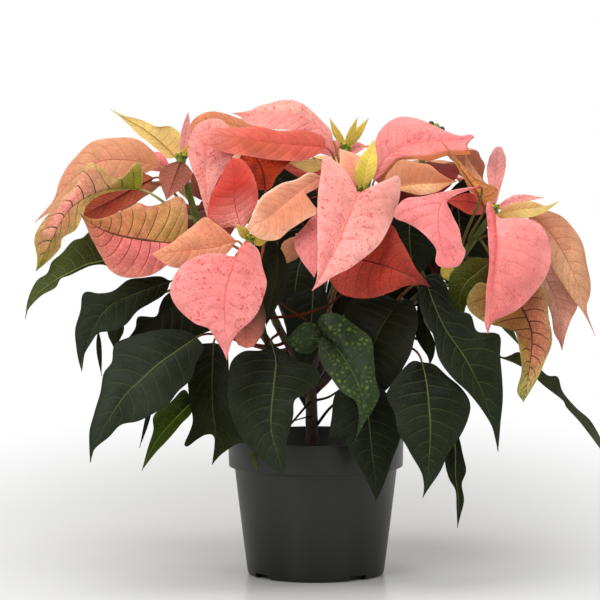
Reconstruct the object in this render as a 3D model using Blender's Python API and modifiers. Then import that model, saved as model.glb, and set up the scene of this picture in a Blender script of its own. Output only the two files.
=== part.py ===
"""Potted poinsettia: a marbled pink poinsettia in a plain dark nursery pot.

Lengths in the tables are millimetres.  The origin is the middle of the pot's
flat base, +Z is up and the side with the hanging front bracts faces -Y.
"""
import math

import bmesh
import bpy
import numpy as np

# ------------------------------------------------------------- driving sizes
MM = 0.001
POT_HEIGHT = 131.0
POT_RIM_RADIUS = 83.0
POT_RIM_BAND = 28.0
POT_WALL_TOP_RADIUS = 77.0
POT_BASE_RADIUS = 64.5
POT_WALL = 1.8
POT_FLOOR = 2.4
POT_CORNER = 3.5
DRAIN_ANGLES = (-52.0, 38.0, 128.0, 218.0)
DRAIN_WIDTH = 19.0
DRAIN_HEIGHT = 5.0
DRAIN_INNER_RADIUS = 56.0
SOIL_TOP = 108.0
SOIL_CLEARANCE = 0.5
STEM_FOOT = (-4.0, 0.0, 101.0)
STEM_RADIUS = 6.2
STEM_TOP_RADIUS = 5.2
STEM_SOCKET = 6.9
LEAF_THICKNESS = 1.0
LEAF_ALONG = 8
LEAF_ACROSS = 4
SPRAY_ACROSS = 2
STALK_STEPS = 3
STALK_HALF_WIDTH = 1.3
STALK_GAP = 0.9
SPRAY_FOOT = 2.6
BRANCH_POINTS = 10
BRANCH_SWELL = 0.6
BRANCH_TAPER = 1.0
HEAD_CORE = 6.0
HEAD_CUP = 3.4

# --- plant tables start
TRUNK = ((-4, 0, 101), (-4, 0, 150), (-5, -2, 190))
BRANCH = {
    "A": (3.4, ((-4, 0, 165), (-55, -5, 235), (-105, -15, 320), (-126, -20, 389))),
    "B": (3.4, ((-5, -2, 185), (-36, -45, 240), (-53, -88, 290), (-60, -107, 321))),
    "C": (3.4, ((-5, -2, 187), (10, -20, 250), (32, -42, 320), (42, -57, 361))),
    "D": (3.2, ((-4, 0, 188), (5, 12, 260), (20, 18, 340), (28, 10, 397))),
    "E": (3.2, ((-3, 0, 180), (35, 30, 250), (85, 52, 340), (106, 60, 405))),
    "F": (3.4, ((-3, 0, 172), (50, -5, 225), (125, -20, 290), (164, -31, 342.5))),
    "G": (3.2, ((-4, 2, 176), (-30, 45, 245), (-60, 85, 320), (-75, 100, 370))),
    "H": (3.2, ((-3, 2, 182), (15, 50, 250), (40, 100, 320), (52, 120, 368))),
}
OVATE = (0.03, 0.55, 0.90, 1.00, 0.95, 0.78, 0.52, 0.25, 0.01)
LANCE = (0.03, 0.38, 0.72, 0.94, 1.00, 0.86, 0.60, 0.30, 0.01)
LATE = (0.03, 0.50, 0.85, 1.00, 1.00, 0.95, 0.75, 0.45, 0.01)
SPOON = (0.05, 0.28, 0.42, 0.58, 0.75, 0.92, 1.00, 0.85, 0.35)
# name: side shown to the front, branch, place on it, midrib, edge a, edge b, material
LEAVES = {
    "bract_01": ("under", "A", 0.93,
        ((-132, -6, 395), (-142, 0, 405), (-158, 8, 418), (-177, 16, 429), (-194, 22, 439)),
        ((-126, 0, 401), (-124, 7, 412), (-136, 12, 423), (-150, 12, 423), (-164, 16, 429),
         (-181, 19, 433)),
        ((-139, -7, 394), (-150, -2, 403), (-164, 5, 413), (-176, 13, 424), (-185, 18, 432)),
        "bract_yellow"),
    "bract_02": ("top", "A", 0.88,
        ((-146, -18, 387), (-174, -20, 393), (-202, -20, 392), (-227, -20, 376), (-247, -22, 353),
         (-263, -25, 335)),
        ((-149, -11, 396), (-158, -7, 405), (-171, -4, 412), (-188, -2, 414), (-207, -5, 410),
         (-222, -7, 399), (-233, -9, 388), (-240, -14, 373), (-245, -21, 356), (-255, -23, 344)),
        ((-157, -23, 382), (-178, -30, 373), (-202, -31, 367), (-221, -29, 356), (-236, -27, 349),
         (-249, -25, 344)),
        "bract_tan"),
    "bract_03": ("top", "A", 0.80,
        ((-163, -52, 367), (-180, -58, 369), (-197, -64, 367), (-214, -70, 360), (-228, -74, 350),
         (-238, -76, 335), (-246, -76, 318), (-259, -75, 293)),
        ((-161, -51, 380), (-166, -51, 393), (-177, -57, 382), (-189, -60, 379), (-207, -61, 392),
         (-216, -63, 389), (-222, -69, 373), (-234, -72, 361), (-244, -73, 349), (-255, -73, 336),
         (-261, -73, 323), (-258, -74, 306)),
        ((-175, -57, 367), (-193, -64, 365), (-205, -69, 360), (-213, -75, 352), (-216, -81, 343),
         (-222, -84, 332), (-234, -81, 324), (-236, -82, 315), (-246, -80, 304)),
        "bract_marbled"),
    "bract_04": ("under", "A", 0.84,
        ((-151, -35, 377), (-169, -38, 368), (-187, -40, 358), (-203, -41, 350), (-217, -42, 344)),
        ((-157, -34, 380), (-166, -33, 382), (-181, -33, 376), (-197, -35, 369), (-210, -36, 360),
         (-216, -39, 352)),
        ((-155, -37, 372), (-161, -42, 362), (-170, -45, 354), (-183, -46, 347), (-196, -47, 340),
         (-208, -47, 337), (-215, -44, 339)),
        "bract_coral"),
    "bract_05": ("top", "B", 0.82,
        ((-128, -84, 320), (-144, -90, 321), (-162, -98, 324), (-180, -105, 328), (-194, -111, 333),
         (-206, -116, 340), (-216, -118, 349)),
        ((-120, -79, 326), (-119, -73, 340), (-122, -65, 358), (-130, -65, 362), (-144, -76, 355),
         (-155, -82, 353), (-164, -83, 357), (-175, -92, 352), (-191, -106, 345), (-205, -114, 344)),
        ((-129, -91, 308), (-139, -99, 299), (-151, -106, 292), (-164, -113, 290), (-178, -117, 291),
         (-189, -119, 297), (-195, -119, 307), (-201, -119, 318), (-207, -119, 329), (-211, -118, 339)),
        "bract_marbled"),
    "bract_06": ("top", "B", 0.90,
        ((-73, -106, 323), (-93, -112, 318), (-111, -119, 316), (-129, -127, 315), (-150, -135, 313)),
        ((-85, -101, 333), (-100, -96, 344), (-110, -102, 339), (-119, -110, 333), (-130, -121, 324),
         (-141, -129, 318)),
        ((-82, -112, 312), (-97, -120, 304), (-115, -127, 300), (-132, -133, 301), (-142, -135, 307)),
        "bract_tan"),
    "bract_07": ("top", "B", 0.92,
        ((-97, -82, 337), (-101, -72, 361), (-103, -62, 388), (-101, -50, 411), (-97, -40, 433)),
        ((-102, -78, 347), (-106, -73, 361), (-110, -67, 375), (-117, -61, 392), (-119, -55, 406),
         (-117, -50, 416), (-110, -44, 428)),
        ((-99, -76, 353), (-94, -72, 370), (-87, -69, 384), (-78, -65, 397), (-73, -61, 406),
         (-78, -52, 420), (-87, -45, 431)),
        "bract_pink"),
    "bract_08": ("top", "B", 0.97,
        ((-68, -94, 332), (-74, -92, 351), (-76, -88, 369), (-77, -80, 385), (-78, -72, 398)),
        ((-79, -93, 335), (-92, -93, 332), (-100, -91, 345), (-98, -89, 360), (-91, -83, 375),
         (-83, -76, 391)),
        ((-64, -96, 338), (-59, -98, 347), (-54, -99, 359), (-54, -97, 371), (-59, -89, 385),
         (-68, -79, 396)),
        "bract_coral"),
    "bract_09": ("top", "D", 0.80,
        ((-49, 20, 414), (-70, 24, 421), (-90, 25, 427), (-108, 22, 428), (-120, 18, 410)),
        ((-59, 30, 428), (-72, 30, 430), (-85, 30, 434), (-98, 31, 437), (-110, 26, 433), (-118, 26, 426),
         (-121, 22, 416)),
        ((-62, 18, 410), (-79, 17, 411), (-96, 15, 414), (-109, 17, 415), (-116, 17, 411)),
        "bract_tan"),
    "bract_10": ("top", "D", 0.95,
        ((16, 2, 410), (-5, -6, 428), (-28, -14, 438), (-51, -20, 438), (-65, -23, 435), (-78, -25, 437)),
        ((14, 5, 419), (4, 2, 431), (-7, 1, 440), (-18, -1, 448), (-30, -5, 449), (-42, -11, 446),
         (-53, -15, 444), (-63, -20, 439)),
        ((9, -5, 408), (-10, -17, 418), (-29, -29, 422), (-50, -35, 424), (-64, -30, 428),
         (-71, -27, 434)),
        "bract_pink"),
    "bract_11": ("top", "D", 0.90,
        ((9, -26, 405), (-15, -40, 408), (-43, -52, 411), (-71, -62, 416), (-96, -68, 419),
         (-114, -70, 418)),
        ((7, -22, 415), (-10, -29, 421), (-34, -40, 422), (-54, -47, 425), (-75, -56, 425),
         (-95, -63, 424), (-107, -67, 421)),
        ((2, -36, 399), (-13, -49, 394), (-29, -57, 394), (-50, -65, 397), (-70, -72, 400),
         (-87, -75, 404), (-102, -74, 411)),
        "bract_coral"),
    "bract_12": ("under", "B", 0.80,
        ((-47, -60, 367), (-49, -54, 382), (-54, -46, 393), (-62, -40, 403)),
        ((-56, -58, 369), (-65, -50, 383), (-71, -42, 396)),
        ((-41, -58, 370), (-36, -53, 380), (-27, -49, 389), (-24, -45, 396), (-39, -42, 403)),
        "bract_coral"),
    "bract_13": ("top", "C", 0.90,
        ((5, -70, 380), (-10, -80, 371), (-29, -94, 357), (-47, -114, 344), (-64, -130, 337)),
        ((-6, -72, 384), (-19, -79, 378), (-33, -86, 374), (-46, -96, 367), (-54, -106, 358),
         (-58, -116, 349), (-61, -124, 342)),
        ((2, -76, 371), (-10, -83, 364), (-4, -88, 358), (2, -94, 349), (-12, -102, 341), (-24, -111, 334),
         (-36, -121, 325), (-50, -127, 326), (-60, -129, 332)),
        "bract_tan"),
    "bract_14": ("top", "B", 0.74,
        ((-66, -132, 323), (-73, -140, 310), (-79, -150, 294), (-83, -160, 278), (-83, -167, 260),
         (-82, -172, 241), (-81, -174, 220)),
        ((-71, -135, 317), (-75, -139, 308), (-86, -140, 314), (-106, -145, 312), (-123, -149, 304),
         (-131, -156, 290), (-132, -159, 278), (-124, -163, 264), (-109, -168, 252), (-98, -170, 249),
         (-90, -172, 237), (-85, -173, 229)),
        ((-60, -131, 323), (-53, -130, 316), (-50, -131, 308), (-48, -134, 298), (-46, -137, 287),
         (-48, -145, 274), (-52, -153, 264), (-60, -160, 254), (-69, -166, 246), (-76, -170, 237),
         (-79, -172, 229)),
        "bract_pink"),
    "bract_15": ("top", "C", 0.80,
        ((39, -84, 365), (34, -89, 354), (27, -96, 338), (20, -109, 321), (12, -123, 307), (5, -137, 294),
         (-4, -150, 281)),
        ((32, -82, 379), (23, -80, 389), (14, -78, 397), (6, -77, 399), (4, -81, 385), (2, -89, 367),
         (1, -100, 347), (1, -116, 325), (1, -132, 305), (0, -143, 290)),
        ((51, -82, 372), (64, -80, 378), (76, -78, 381), (77, -80, 367), (74, -83, 350), (67, -90, 334),
         (57, -100, 319), (44, -111, 308), (30, -123, 299), (16, -134, 293), (5, -143, 286)),
        "bract_pink"),
    "bract_16": ("top", "E", 0.85,
        ((54, -15, 373), (64, -18, 393), (81, -23, 406), (106, -26, 411), (130, -24, 412),
         (148, -20, 414)),
        ((56, -14, 387), (55, -11, 402), (57, -8, 416), (64, -8, 425), (75, -9, 431), (87, -10, 433),
         (99, -14, 431), (112, -18, 424), (124, -20, 419), (135, -21, 416), (145, -19, 417)),
        ((62, -21, 376), (70, -26, 385), (78, -29, 393), (91, -37, 394), (106, -41, 394), (119, -39, 397),
         (130, -38, 398), (144, -35, 400), (141, -29, 406), (144, -23, 411)),
        "bract_pink"),
    "bract_17": ("top", "C", 0.88,
        ((63, -50, 367), (78, -56, 370), (96, -62, 373), (115, -67, 374), (130, -70, 376)),
        ((64, -45, 376), (69, -40, 386), (78, -39, 393), (91, -44, 393), (104, -51, 390), (115, -60, 383),
         (123, -67, 378)),
        ((74, -56, 367), (85, -62, 365), (98, -69, 363), (111, -71, 366), (120, -71, 371)),
        "bract_tan"),
    "bract_18": ("top", "F", 0.81,
        ((149, -76, 371), (132, -84, 367), (117, -92, 360), (112, -100, 345), (114, -109, 322),
         (120, -115, 299)),
        ((134, -81, 370), (119, -87, 367), (100, -89, 364), (84, -92, 362), (74, -95, 353), (72, -96, 344),
         (83, -99, 339), (94, -103, 333), (104, -108, 324), (110, -110, 315), (109, -112, 305),
         (113, -113, 300)),
        ((140, -80, 368), (129, -86, 364), (120, -90, 358), (125, -93, 348), (130, -100, 335),
         (134, -105, 321), (137, -107, 314), (134, -110, 306), (129, -112, 300)),
        "bract_pink"),
    "bract_19": ("top", "C", 0.60,
        ((17, -62, 312), (31, -68, 307), (45, -76, 303), (63, -86, 299), (83, -98, 292),
         (105, -110, 281)),
        ((31, -63, 325), (51, -68, 334), (69, -75, 336), (77, -82, 324), (84, -91, 312), (91, -99, 298),
         (99, -105, 288)),
        ((10, -67, 299), (12, -73, 285), (22, -80, 273), (37, -87, 269), (53, -93, 270), (68, -99, 275),
         (81, -102, 281), (95, -106, 283)),
        "bract_coral"),
    "bract_20": ("under", "F", 0.86,
        ((156, -41, 352), (151, -42, 362), (143, -42, 374), (134, -42, 387), (126, -41, 399),
         (117, -40, 411)),
        ((167, -36, 358), (169, -34, 367), (158, -37, 372), (147, -39, 378), (139, -40, 387),
         (131, -40, 396), (124, -40, 404)),
        ((151, -43, 354), (148, -43, 361), (142, -43, 368), (137, -43, 378), (130, -42, 390),
         (123, -41, 402)),
        "bract_yellow"),
    "bract_21": ("top", "F", 0.94,
        ((168, -44, 342), (179, -47, 346), (194, -50, 349), (211, -51, 351), (226, -49, 356)),
        ((173, -42, 348), (183, -43, 353), (196, -45, 356), (207, -47, 354), (216, -49, 351)),
        ((177, -51, 339), (189, -55, 340), (201, -56, 342), (212, -55, 346), (218, -53, 350)),
        "bract_yellow"),
    "bract_22": ("top", "F", 0.92,
        ((166, -58, 345), (166, -74, 333), (166, -90, 319), (163, -104, 301), (161, -114, 279),
         (159, -119, 259), (157, -120, 239)),
        ((161, -53, 357), (158, -59, 350), (158, -72, 336), (159, -91, 317), (158, -105, 296),
         (156, -111, 278), (155, -114, 264), (154, -116, 250)),
        ((173, -62, 340), (182, -62, 342), (196, -64, 340), (208, -68, 334), (215, -74, 323),
         (217, -78, 310), (213, -88, 293), (204, -97, 278), (191, -105, 265), (176, -113, 256),
         (162, -118, 250)),
        "bract_pink"),
    "bract_23": ("top", "F", 0.90,
        ((198, -40, 344), (216, -46, 329), (230, -52, 308), (241, -55, 284), (248, -53, 263),
         (254, -51, 246), (260, -50, 231)),
        ((207, -36, 347), (220, -36, 345), (233, -35, 339), (243, -38, 326), (251, -42, 306),
         (255, -46, 286), (255, -48, 270), (252, -51, 254)),
        ((198, -50, 324), (208, -56, 311), (217, -58, 299), (227, -60, 283), (239, -57, 265),
         (249, -53, 252)),
        "bract_tan"),
    "bract_24": ("top", "F", 0.80,
        ((204, -30, 298), (217, -36, 280), (224, -40, 260), (228, -41, 239), (230, -40, 216)),
        ((215, -31, 302), (225, -33, 293), (235, -37, 276), (244, -38, 260), (238, -40, 244),
         (233, -40, 230)),
        ((204, -31, 285), (211, -35, 272), (219, -38, 252), (222, -39, 234), (227, -40, 224)),
        "bract_coral"),
    "bract_25": ("top", "F", 0.90,
        ((176, -70, 281), (189, -76, 262), (199, -80, 239), (199, -80, 218), (196, -80, 195),
         (192, -80, 172)),
        ((160, -71, 280), (149, -72, 281), (140, -73, 269), (141, -74, 257), (154, -77, 247),
         (168, -79, 244), (180, -79, 245), (186, -80, 230), (189, -80, 216), (190, -80, 200),
         (186, -80, 182)),
        ((193, -68, 285), (207, -69, 279), (214, -72, 266), (216, -75, 247), (218, -75, 225),
         (211, -77, 207), (202, -78, 188)),
        "bract_marbled"),
    "leaf_01": ("under", "A", 0.60,
        ((-188, -20, 302), (-202, -22, 298), (-216, -24, 295), (-230, -25, 288), (-245, -25, 280),
         (-259, -24, 269), (-268, -22, 258), (-273, -20, 244)),
        ((-195, -17, 314), (-210, -15, 326), (-219, -17, 320), (-228, -18, 317), (-238, -20, 306),
         (-248, -20, 297), (-252, -22, 287), (-261, -21, 281), (-267, -21, 271), (-271, -21, 259)),
        ((-191, -24, 293), (-200, -24, 295), (-211, -24, 294), (-221, -25, 290), (-231, -26, 285),
         (-239, -26, 282), (-244, -27, 274), (-256, -25, 267), (-265, -23, 259), (-271, -21, 251)),
        "leaf_green"),
    "leaf_02": ("top", "A", 0.64,
        ((-135, -68, 283), (-154, -77, 277), (-172, -85, 271), (-186, -92, 265), (-197, -97, 255),
         (-205, -100, 241), (-212, -100, 224), (-216, -98, 202)),
        ((-145, -71, 288), (-161, -77, 287), (-174, -81, 285), (-187, -88, 276), (-200, -91, 274),
         (-214, -94, 274), (-217, -97, 259), (-222, -98, 242), (-221, -99, 226), (-219, -98, 212)),
        ((-140, -77, 272), (-153, -85, 264), (-165, -93, 257), (-175, -102, 246), (-188, -105, 240),
         (-200, -102, 238), (-207, -101, 229), (-216, -100, 213)),
        "leaf_dark"),
    "leaf_03": ("top", "B", 0.30,
        ((-110, -100, 234), (-127, -110, 223), (-145, -120, 211), (-161, -130, 197), (-175, -138, 184),
         (-190, -145, 162), (-200, -148, 144), (-206, -150, 124)),
        ((-120, -100, 240), (-139, -103, 241), (-157, -107, 239), (-173, -110, 235), (-185, -115, 228),
         (-187, -123, 213), (-195, -128, 203), (-198, -135, 184), (-203, -141, 166), (-207, -144, 152),
         (-207, -147, 137)),
        ((-103, -105, 224), (-110, -112, 212), (-115, -120, 197), (-126, -128, 187), (-136, -136, 175),
         (-150, -142, 167), (-163, -145, 161), (-178, -147, 158), (-189, -148, 147), (-202, -149, 136)),
        "leaf_dark"),
    "leaf_04": ("under", "A", 0.20,
        ((-115, -76, 171), (-124, -82, 163), (-137, -88, 150), (-147, -92, 138), (-155, -95, 124),
         (-161, -96, 110)),
        ((-122, -77, 183), (-135, -82, 172), (-150, -87, 160), (-151, -91, 145), (-156, -94, 129)),
        ((-116, -83, 161), (-126, -88, 151), (-135, -92, 140), (-146, -95, 129), (-155, -96, 118)),
        "leaf_green"),
    "leaf_05": ("under", "B", 0.25,
        ((-95, -70, 226), (-96, -84, 200), (-96, -91, 184), (-95, -98, 166), (-93, -101, 143),
         (-96, -100, 116)),
        ((-109, -71, 224), (-118, -75, 213), (-119, -83, 193), (-117, -89, 173), (-114, -94, 157),
         (-117, -95, 146), (-122, -95, 132), (-109, -98, 141), (-96, -100, 149), (-93, -100, 134),
         (-95, -100, 122)),
        ((-83, -75, 222), (-81, -83, 207), (-81, -91, 189), (-79, -99, 168), (-73, -103, 150),
         (-65, -105, 139), (-76, -104, 134), (-88, -101, 125)),
        "leaf_green"),
    "leaf_06": ("top", "B", 0.40,
        ((-41, -96, 227), (-37, -108, 212), (-39, -122, 192), (-41, -135, 172), (-41, -146, 153),
         (-36, -153, 134), (-30, -155, 113)),
        ((-50, -98, 222), (-67, -97, 220), (-79, -100, 209), (-81, -116, 191), (-80, -126, 173),
         (-73, -137, 152), (-61, -144, 137), (-50, -150, 127), (-39, -153, 118)),
        ((-30, -100, 221), (-16, -105, 212), (-1, -106, 206), (3, -112, 195), (-8, -121, 185),
         (-20, -130, 178), (-21, -138, 166), (-23, -143, 156), (-27, -148, 144), (-28, -152, 131),
         (-28, -153, 121)),
        "leaf_dark"),
    "leaf_07": ("top", "C", 0.60,
        ((11, -80, 233), (22, -90, 219), (33, -100, 202), (41, -110, 184), (42, -117, 167),
         (36, -120, 141)),
        ((2, -80, 243), (5, -80, 252), (19, -82, 254), (36, -85, 244), (50, -91, 232), (53, -99, 215),
         (55, -107, 195), (58, -110, 183), (53, -115, 170), (44, -118, 156)),
        ((4, -83, 231), (2, -89, 221), (5, -96, 209), (14, -104, 196), (24, -111, 184), (36, -115, 176),
         (39, -118, 163), (38, -119, 150)),
        "leaf_mottled"),
    "leaf_08": ("top", "F", 0.49,
        ((76, -66, 265), (67, -72, 251), (57, -76, 235), (52, -78, 218), (52, -80, 200), (59, -84, 179)),
        ((59, -58, 270), (37, -52, 266), (26, -53, 253), (29, -61, 233), (37, -70, 214), (47, -77, 193)),
        ((89, -78, 265), (94, -92, 247), (89, -102, 228), (83, -105, 211), (73, -96, 194),
         (64, -88, 183)),
        "leaf_dark"),
    "leaf_09": ("top", "F", 0.31,
        ((97, -112, 212), (101, -118, 194), (103, -130, 174), (104, -140, 153), (103, -146, 130),
         (101, -147, 109), (97, -145, 91)),
        ((88, -111, 213), (79, -111, 205), (68, -115, 190), (64, -118, 181), (72, -128, 166),
         (75, -135, 150), (84, -141, 134), (95, -145, 116), (98, -146, 102)),
        ((108, -112, 210), (119, -113, 201), (132, -118, 189), (141, -123, 175), (139, -129, 161),
         (130, -136, 145), (121, -142, 132), (114, -144, 117), (104, -145, 102)),
        "leaf_dark"),
    "leaf_10": ("under", "F", 0.30,
        ((126, -78, 147), (129, -81, 127), (129, -85, 104), (132, -86, 81), (131, -85, 55)),
        ((121, -79, 136), (119, -82, 118), (123, -84, 101), (129, -85, 90), (130, -86, 74)),
        ((132, -79, 140), (136, -81, 123), (139, -83, 108), (135, -85, 96), (137, -86, 81),
         (134, -85, 67)),
        "leaf_dark"),
    "leaf_11": ("top", "F", 0.60,
        ((100, -80, 289), (108, -92, 265), (119, -103, 241), (134, -112, 220), (146, -119, 198),
         (156, -120, 174), (167, -115, 130)),
        ((95, -88, 275), (97, -97, 256), (107, -105, 237), (112, -114, 216), (124, -120, 199),
         (139, -122, 185), (153, -120, 167), (163, -117, 149)),
        ((112, -81, 291), (121, -87, 278), (128, -95, 260), (142, -98, 255), (148, -105, 239),
         (168, -107, 237), (169, -113, 218), (170, -116, 198), (171, -117, 176), (169, -116, 154)),
        "leaf_dark"),
    "leaf_12": ("top", "F", 0.42,
        ((162, -48, 299), (151, -52, 290), (139, -56, 280), (133, -58, 265), (137, -58, 249)),
        ((151, -48, 304), (136, -51, 299), (125, -53, 288), (123, -56, 270), (127, -57, 257)),
        ((163, -50, 288), (156, -53, 276), (147, -56, 267), (140, -57, 260), (138, -58, 254)),
        "leaf_green"),
    "leaf_13": ("top", "C", 0.30,
        ((44, -90, 195), (46, -96, 175), (49, -102, 153), (51, -107, 130), (54, -109, 107),
         (55, -110, 84)),
        ((31, -90, 191), (17, -91, 179), (14, -95, 159), (13, -98, 140), (23, -100, 147), (27, -103, 136),
         (38, -106, 118), (49, -109, 97)),
        ((57, -91, 190), (70, -94, 173), (77, -98, 155), (76, -102, 137), (69, -106, 118),
         (61, -109, 96)),
        "leaf_dark"),
    "leaf_14": ("top", "A", 0.40,
        ((-78, -52, 264), (-108, -58, 264), (-136, -63, 257), (-156, -67, 243), (-176, -70, 228)),
        ((-88, -52, 275), (-113, -55, 278), (-132, -58, 274), (-141, -60, 268), (-145, -62, 260),
         (-149, -65, 250), (-165, -65, 250), (-168, -68, 239)),
        ((-85, -59, 244), (-108, -66, 233), (-131, -70, 227), (-154, -71, 226)),
        "leaf_dark"),
    "leaf_15": ("top", "B", 0.60,
        ((-36, -88, 319), (-36, -94, 300), (-38, -95, 280), (-46, -90, 244)),
        ((-48, -91, 312), (-51, -95, 290), (-52, -92, 264)),
        ((-29, -92, 308), (-26, -94, 291), (-30, -95, 275), (-37, -92, 260)),
        "leaf_dark"),
    "leaf_17": ("top", "F", 0.34,
        ((95, -62, 276), (96, -68, 260), (100, -74, 238), (103, -78, 222), (105, -80, 206)),
        ((94, -66, 265), (93, -71, 249), (92, -75, 233), (97, -77, 223), (103, -79, 214)),
        ((97, -67, 263), (100, -72, 246), (106, -75, 236), (110, -77, 226), (109, -79, 215)),
        "leaf_green"),
    "leaf_16": ("top", "F", 0.40,
        ((175, -40, 209), (194, -40, 201), (213, -41, 188), (230, -44, 173), (245, -49, 157),
         (259, -54, 141), (274, -60, 113)),
        ((181, -38, 211), (190, -36, 214), (202, -37, 207), (216, -39, 193), (226, -38, 191),
         (230, -42, 178), (243, -47, 163), (256, -50, 151), (267, -55, 132)),
        ((183, -40, 205), (198, -41, 197), (213, -43, 183), (230, -45, 170), (234, -48, 163),
         (246, -52, 150), (257, -56, 136)),
        "leaf_dark"),
}
# flower heads: middle, cups around it, and small young bracts sunk in it
HEADS = {
    "flower_head_left": ((-126, -20, 394), ((0, -5, 4), (5, -2, 4), (-5, 0, 4)), (
        ("top", ((-125, -21, 395), (-121, -21, 403), (-118, -20, 410)), (-4, 0, 0), (4, 0, 0), OVATE),
        ("top", ((-125, -19, 395), (-122, -10, 415), (-120, -5, 437)), (-5, 0, 0), (4, 0, 0), LATE),
        ("under", ((-126, -21, 393), (-133, -42, 374), (-139, -58, 358)),
         (-15, 0, 3), (15, 0, -2), OVATE))),
    "flower_head_front": ((-60, -110, 325), ((0, -5, 2), (6, -3, 0), (-5, -4, 3), (4, -2, 5)), (
        ("top", ((-61, -111, 326), (-68, -115, 333), (-74, -115, 339)), (-3, 0, -4), (3, 0, 4), OVATE),
        ("top", ((-59, -111, 325), (-52, -118, 323), (-45, -124, 324)), (0, 0, 4), (0, 0, -4), OVATE),
        ("top", ((-63, -111, 323), (-70, -118, 298), (-66, -132, 256), (-64, -140, 228)),
         (-20, 4, 6), (20, 4, 2), SPOON))),
    "flower_head_middle": ((42, -58, 366), ((-4, -5, 3), (4, -5, 2), (0, -3, 5)), (
        ("top", ((42, -58, 367), (47, -55, 391), (54, -45, 414)), (-10, 0, 0), (10, -2, 0), OVATE),
        ("top", ((41, -57, 367), (33, -38, 391), (22, -25, 404)), (-14, 0, -4), (14, 0, 6), OVATE),
        ("top", ((39, -59, 366), (13, -82, 340), (-4, -97, 321), (-2, -110, 290)),
         (-19, 2, 0), (14, 0, 0), LATE))),
    "flower_head_top": ((28, 10, 402), ((-4, -4, 4), (4, -4, 3), (0, 0, 5)), (
        ("top", ((27, 9, 403), (19, 8, 418), (13, 6, 431)), (-4, 0, 0), (4, 0, 1), OVATE),
        ("top", ((29, 9, 403), (34, 6, 419), (39, 4, 432)), (-4, 0, 0), (4, 0, 0), OVATE),
        ("top", ((29, 11, 403), (41, 15, 419), (50, 18, 431)), (-4, 0, 2), (4, 0, -2), OVATE))),
    "flower_head_right": ((166, -32, 347), ((-3, -5, 3), (4, -4, 3), (0, -2, 5)), (
        ("top", ((166, -31, 348), (169, 0, 377), (172, 6, 404)), (-9, 0, 0), (9, 0, 0), SPOON),
        ("top", ((165, -31, 348), (149, 4, 374), (141, 12, 396)), (-11, 0, 0), (11, 0, 0), OVATE),
        ("top", ((167, -31, 348), (192, -12, 356), (214, -6, 357)), (0, 4, 5), (0, -4, -5), OVATE),
        ("under", ((165, -30, 348), (143, -34, 355), (121, -36, 356)), (0, 3, 8), (0, -2, -12), LANCE))),
}
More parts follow.
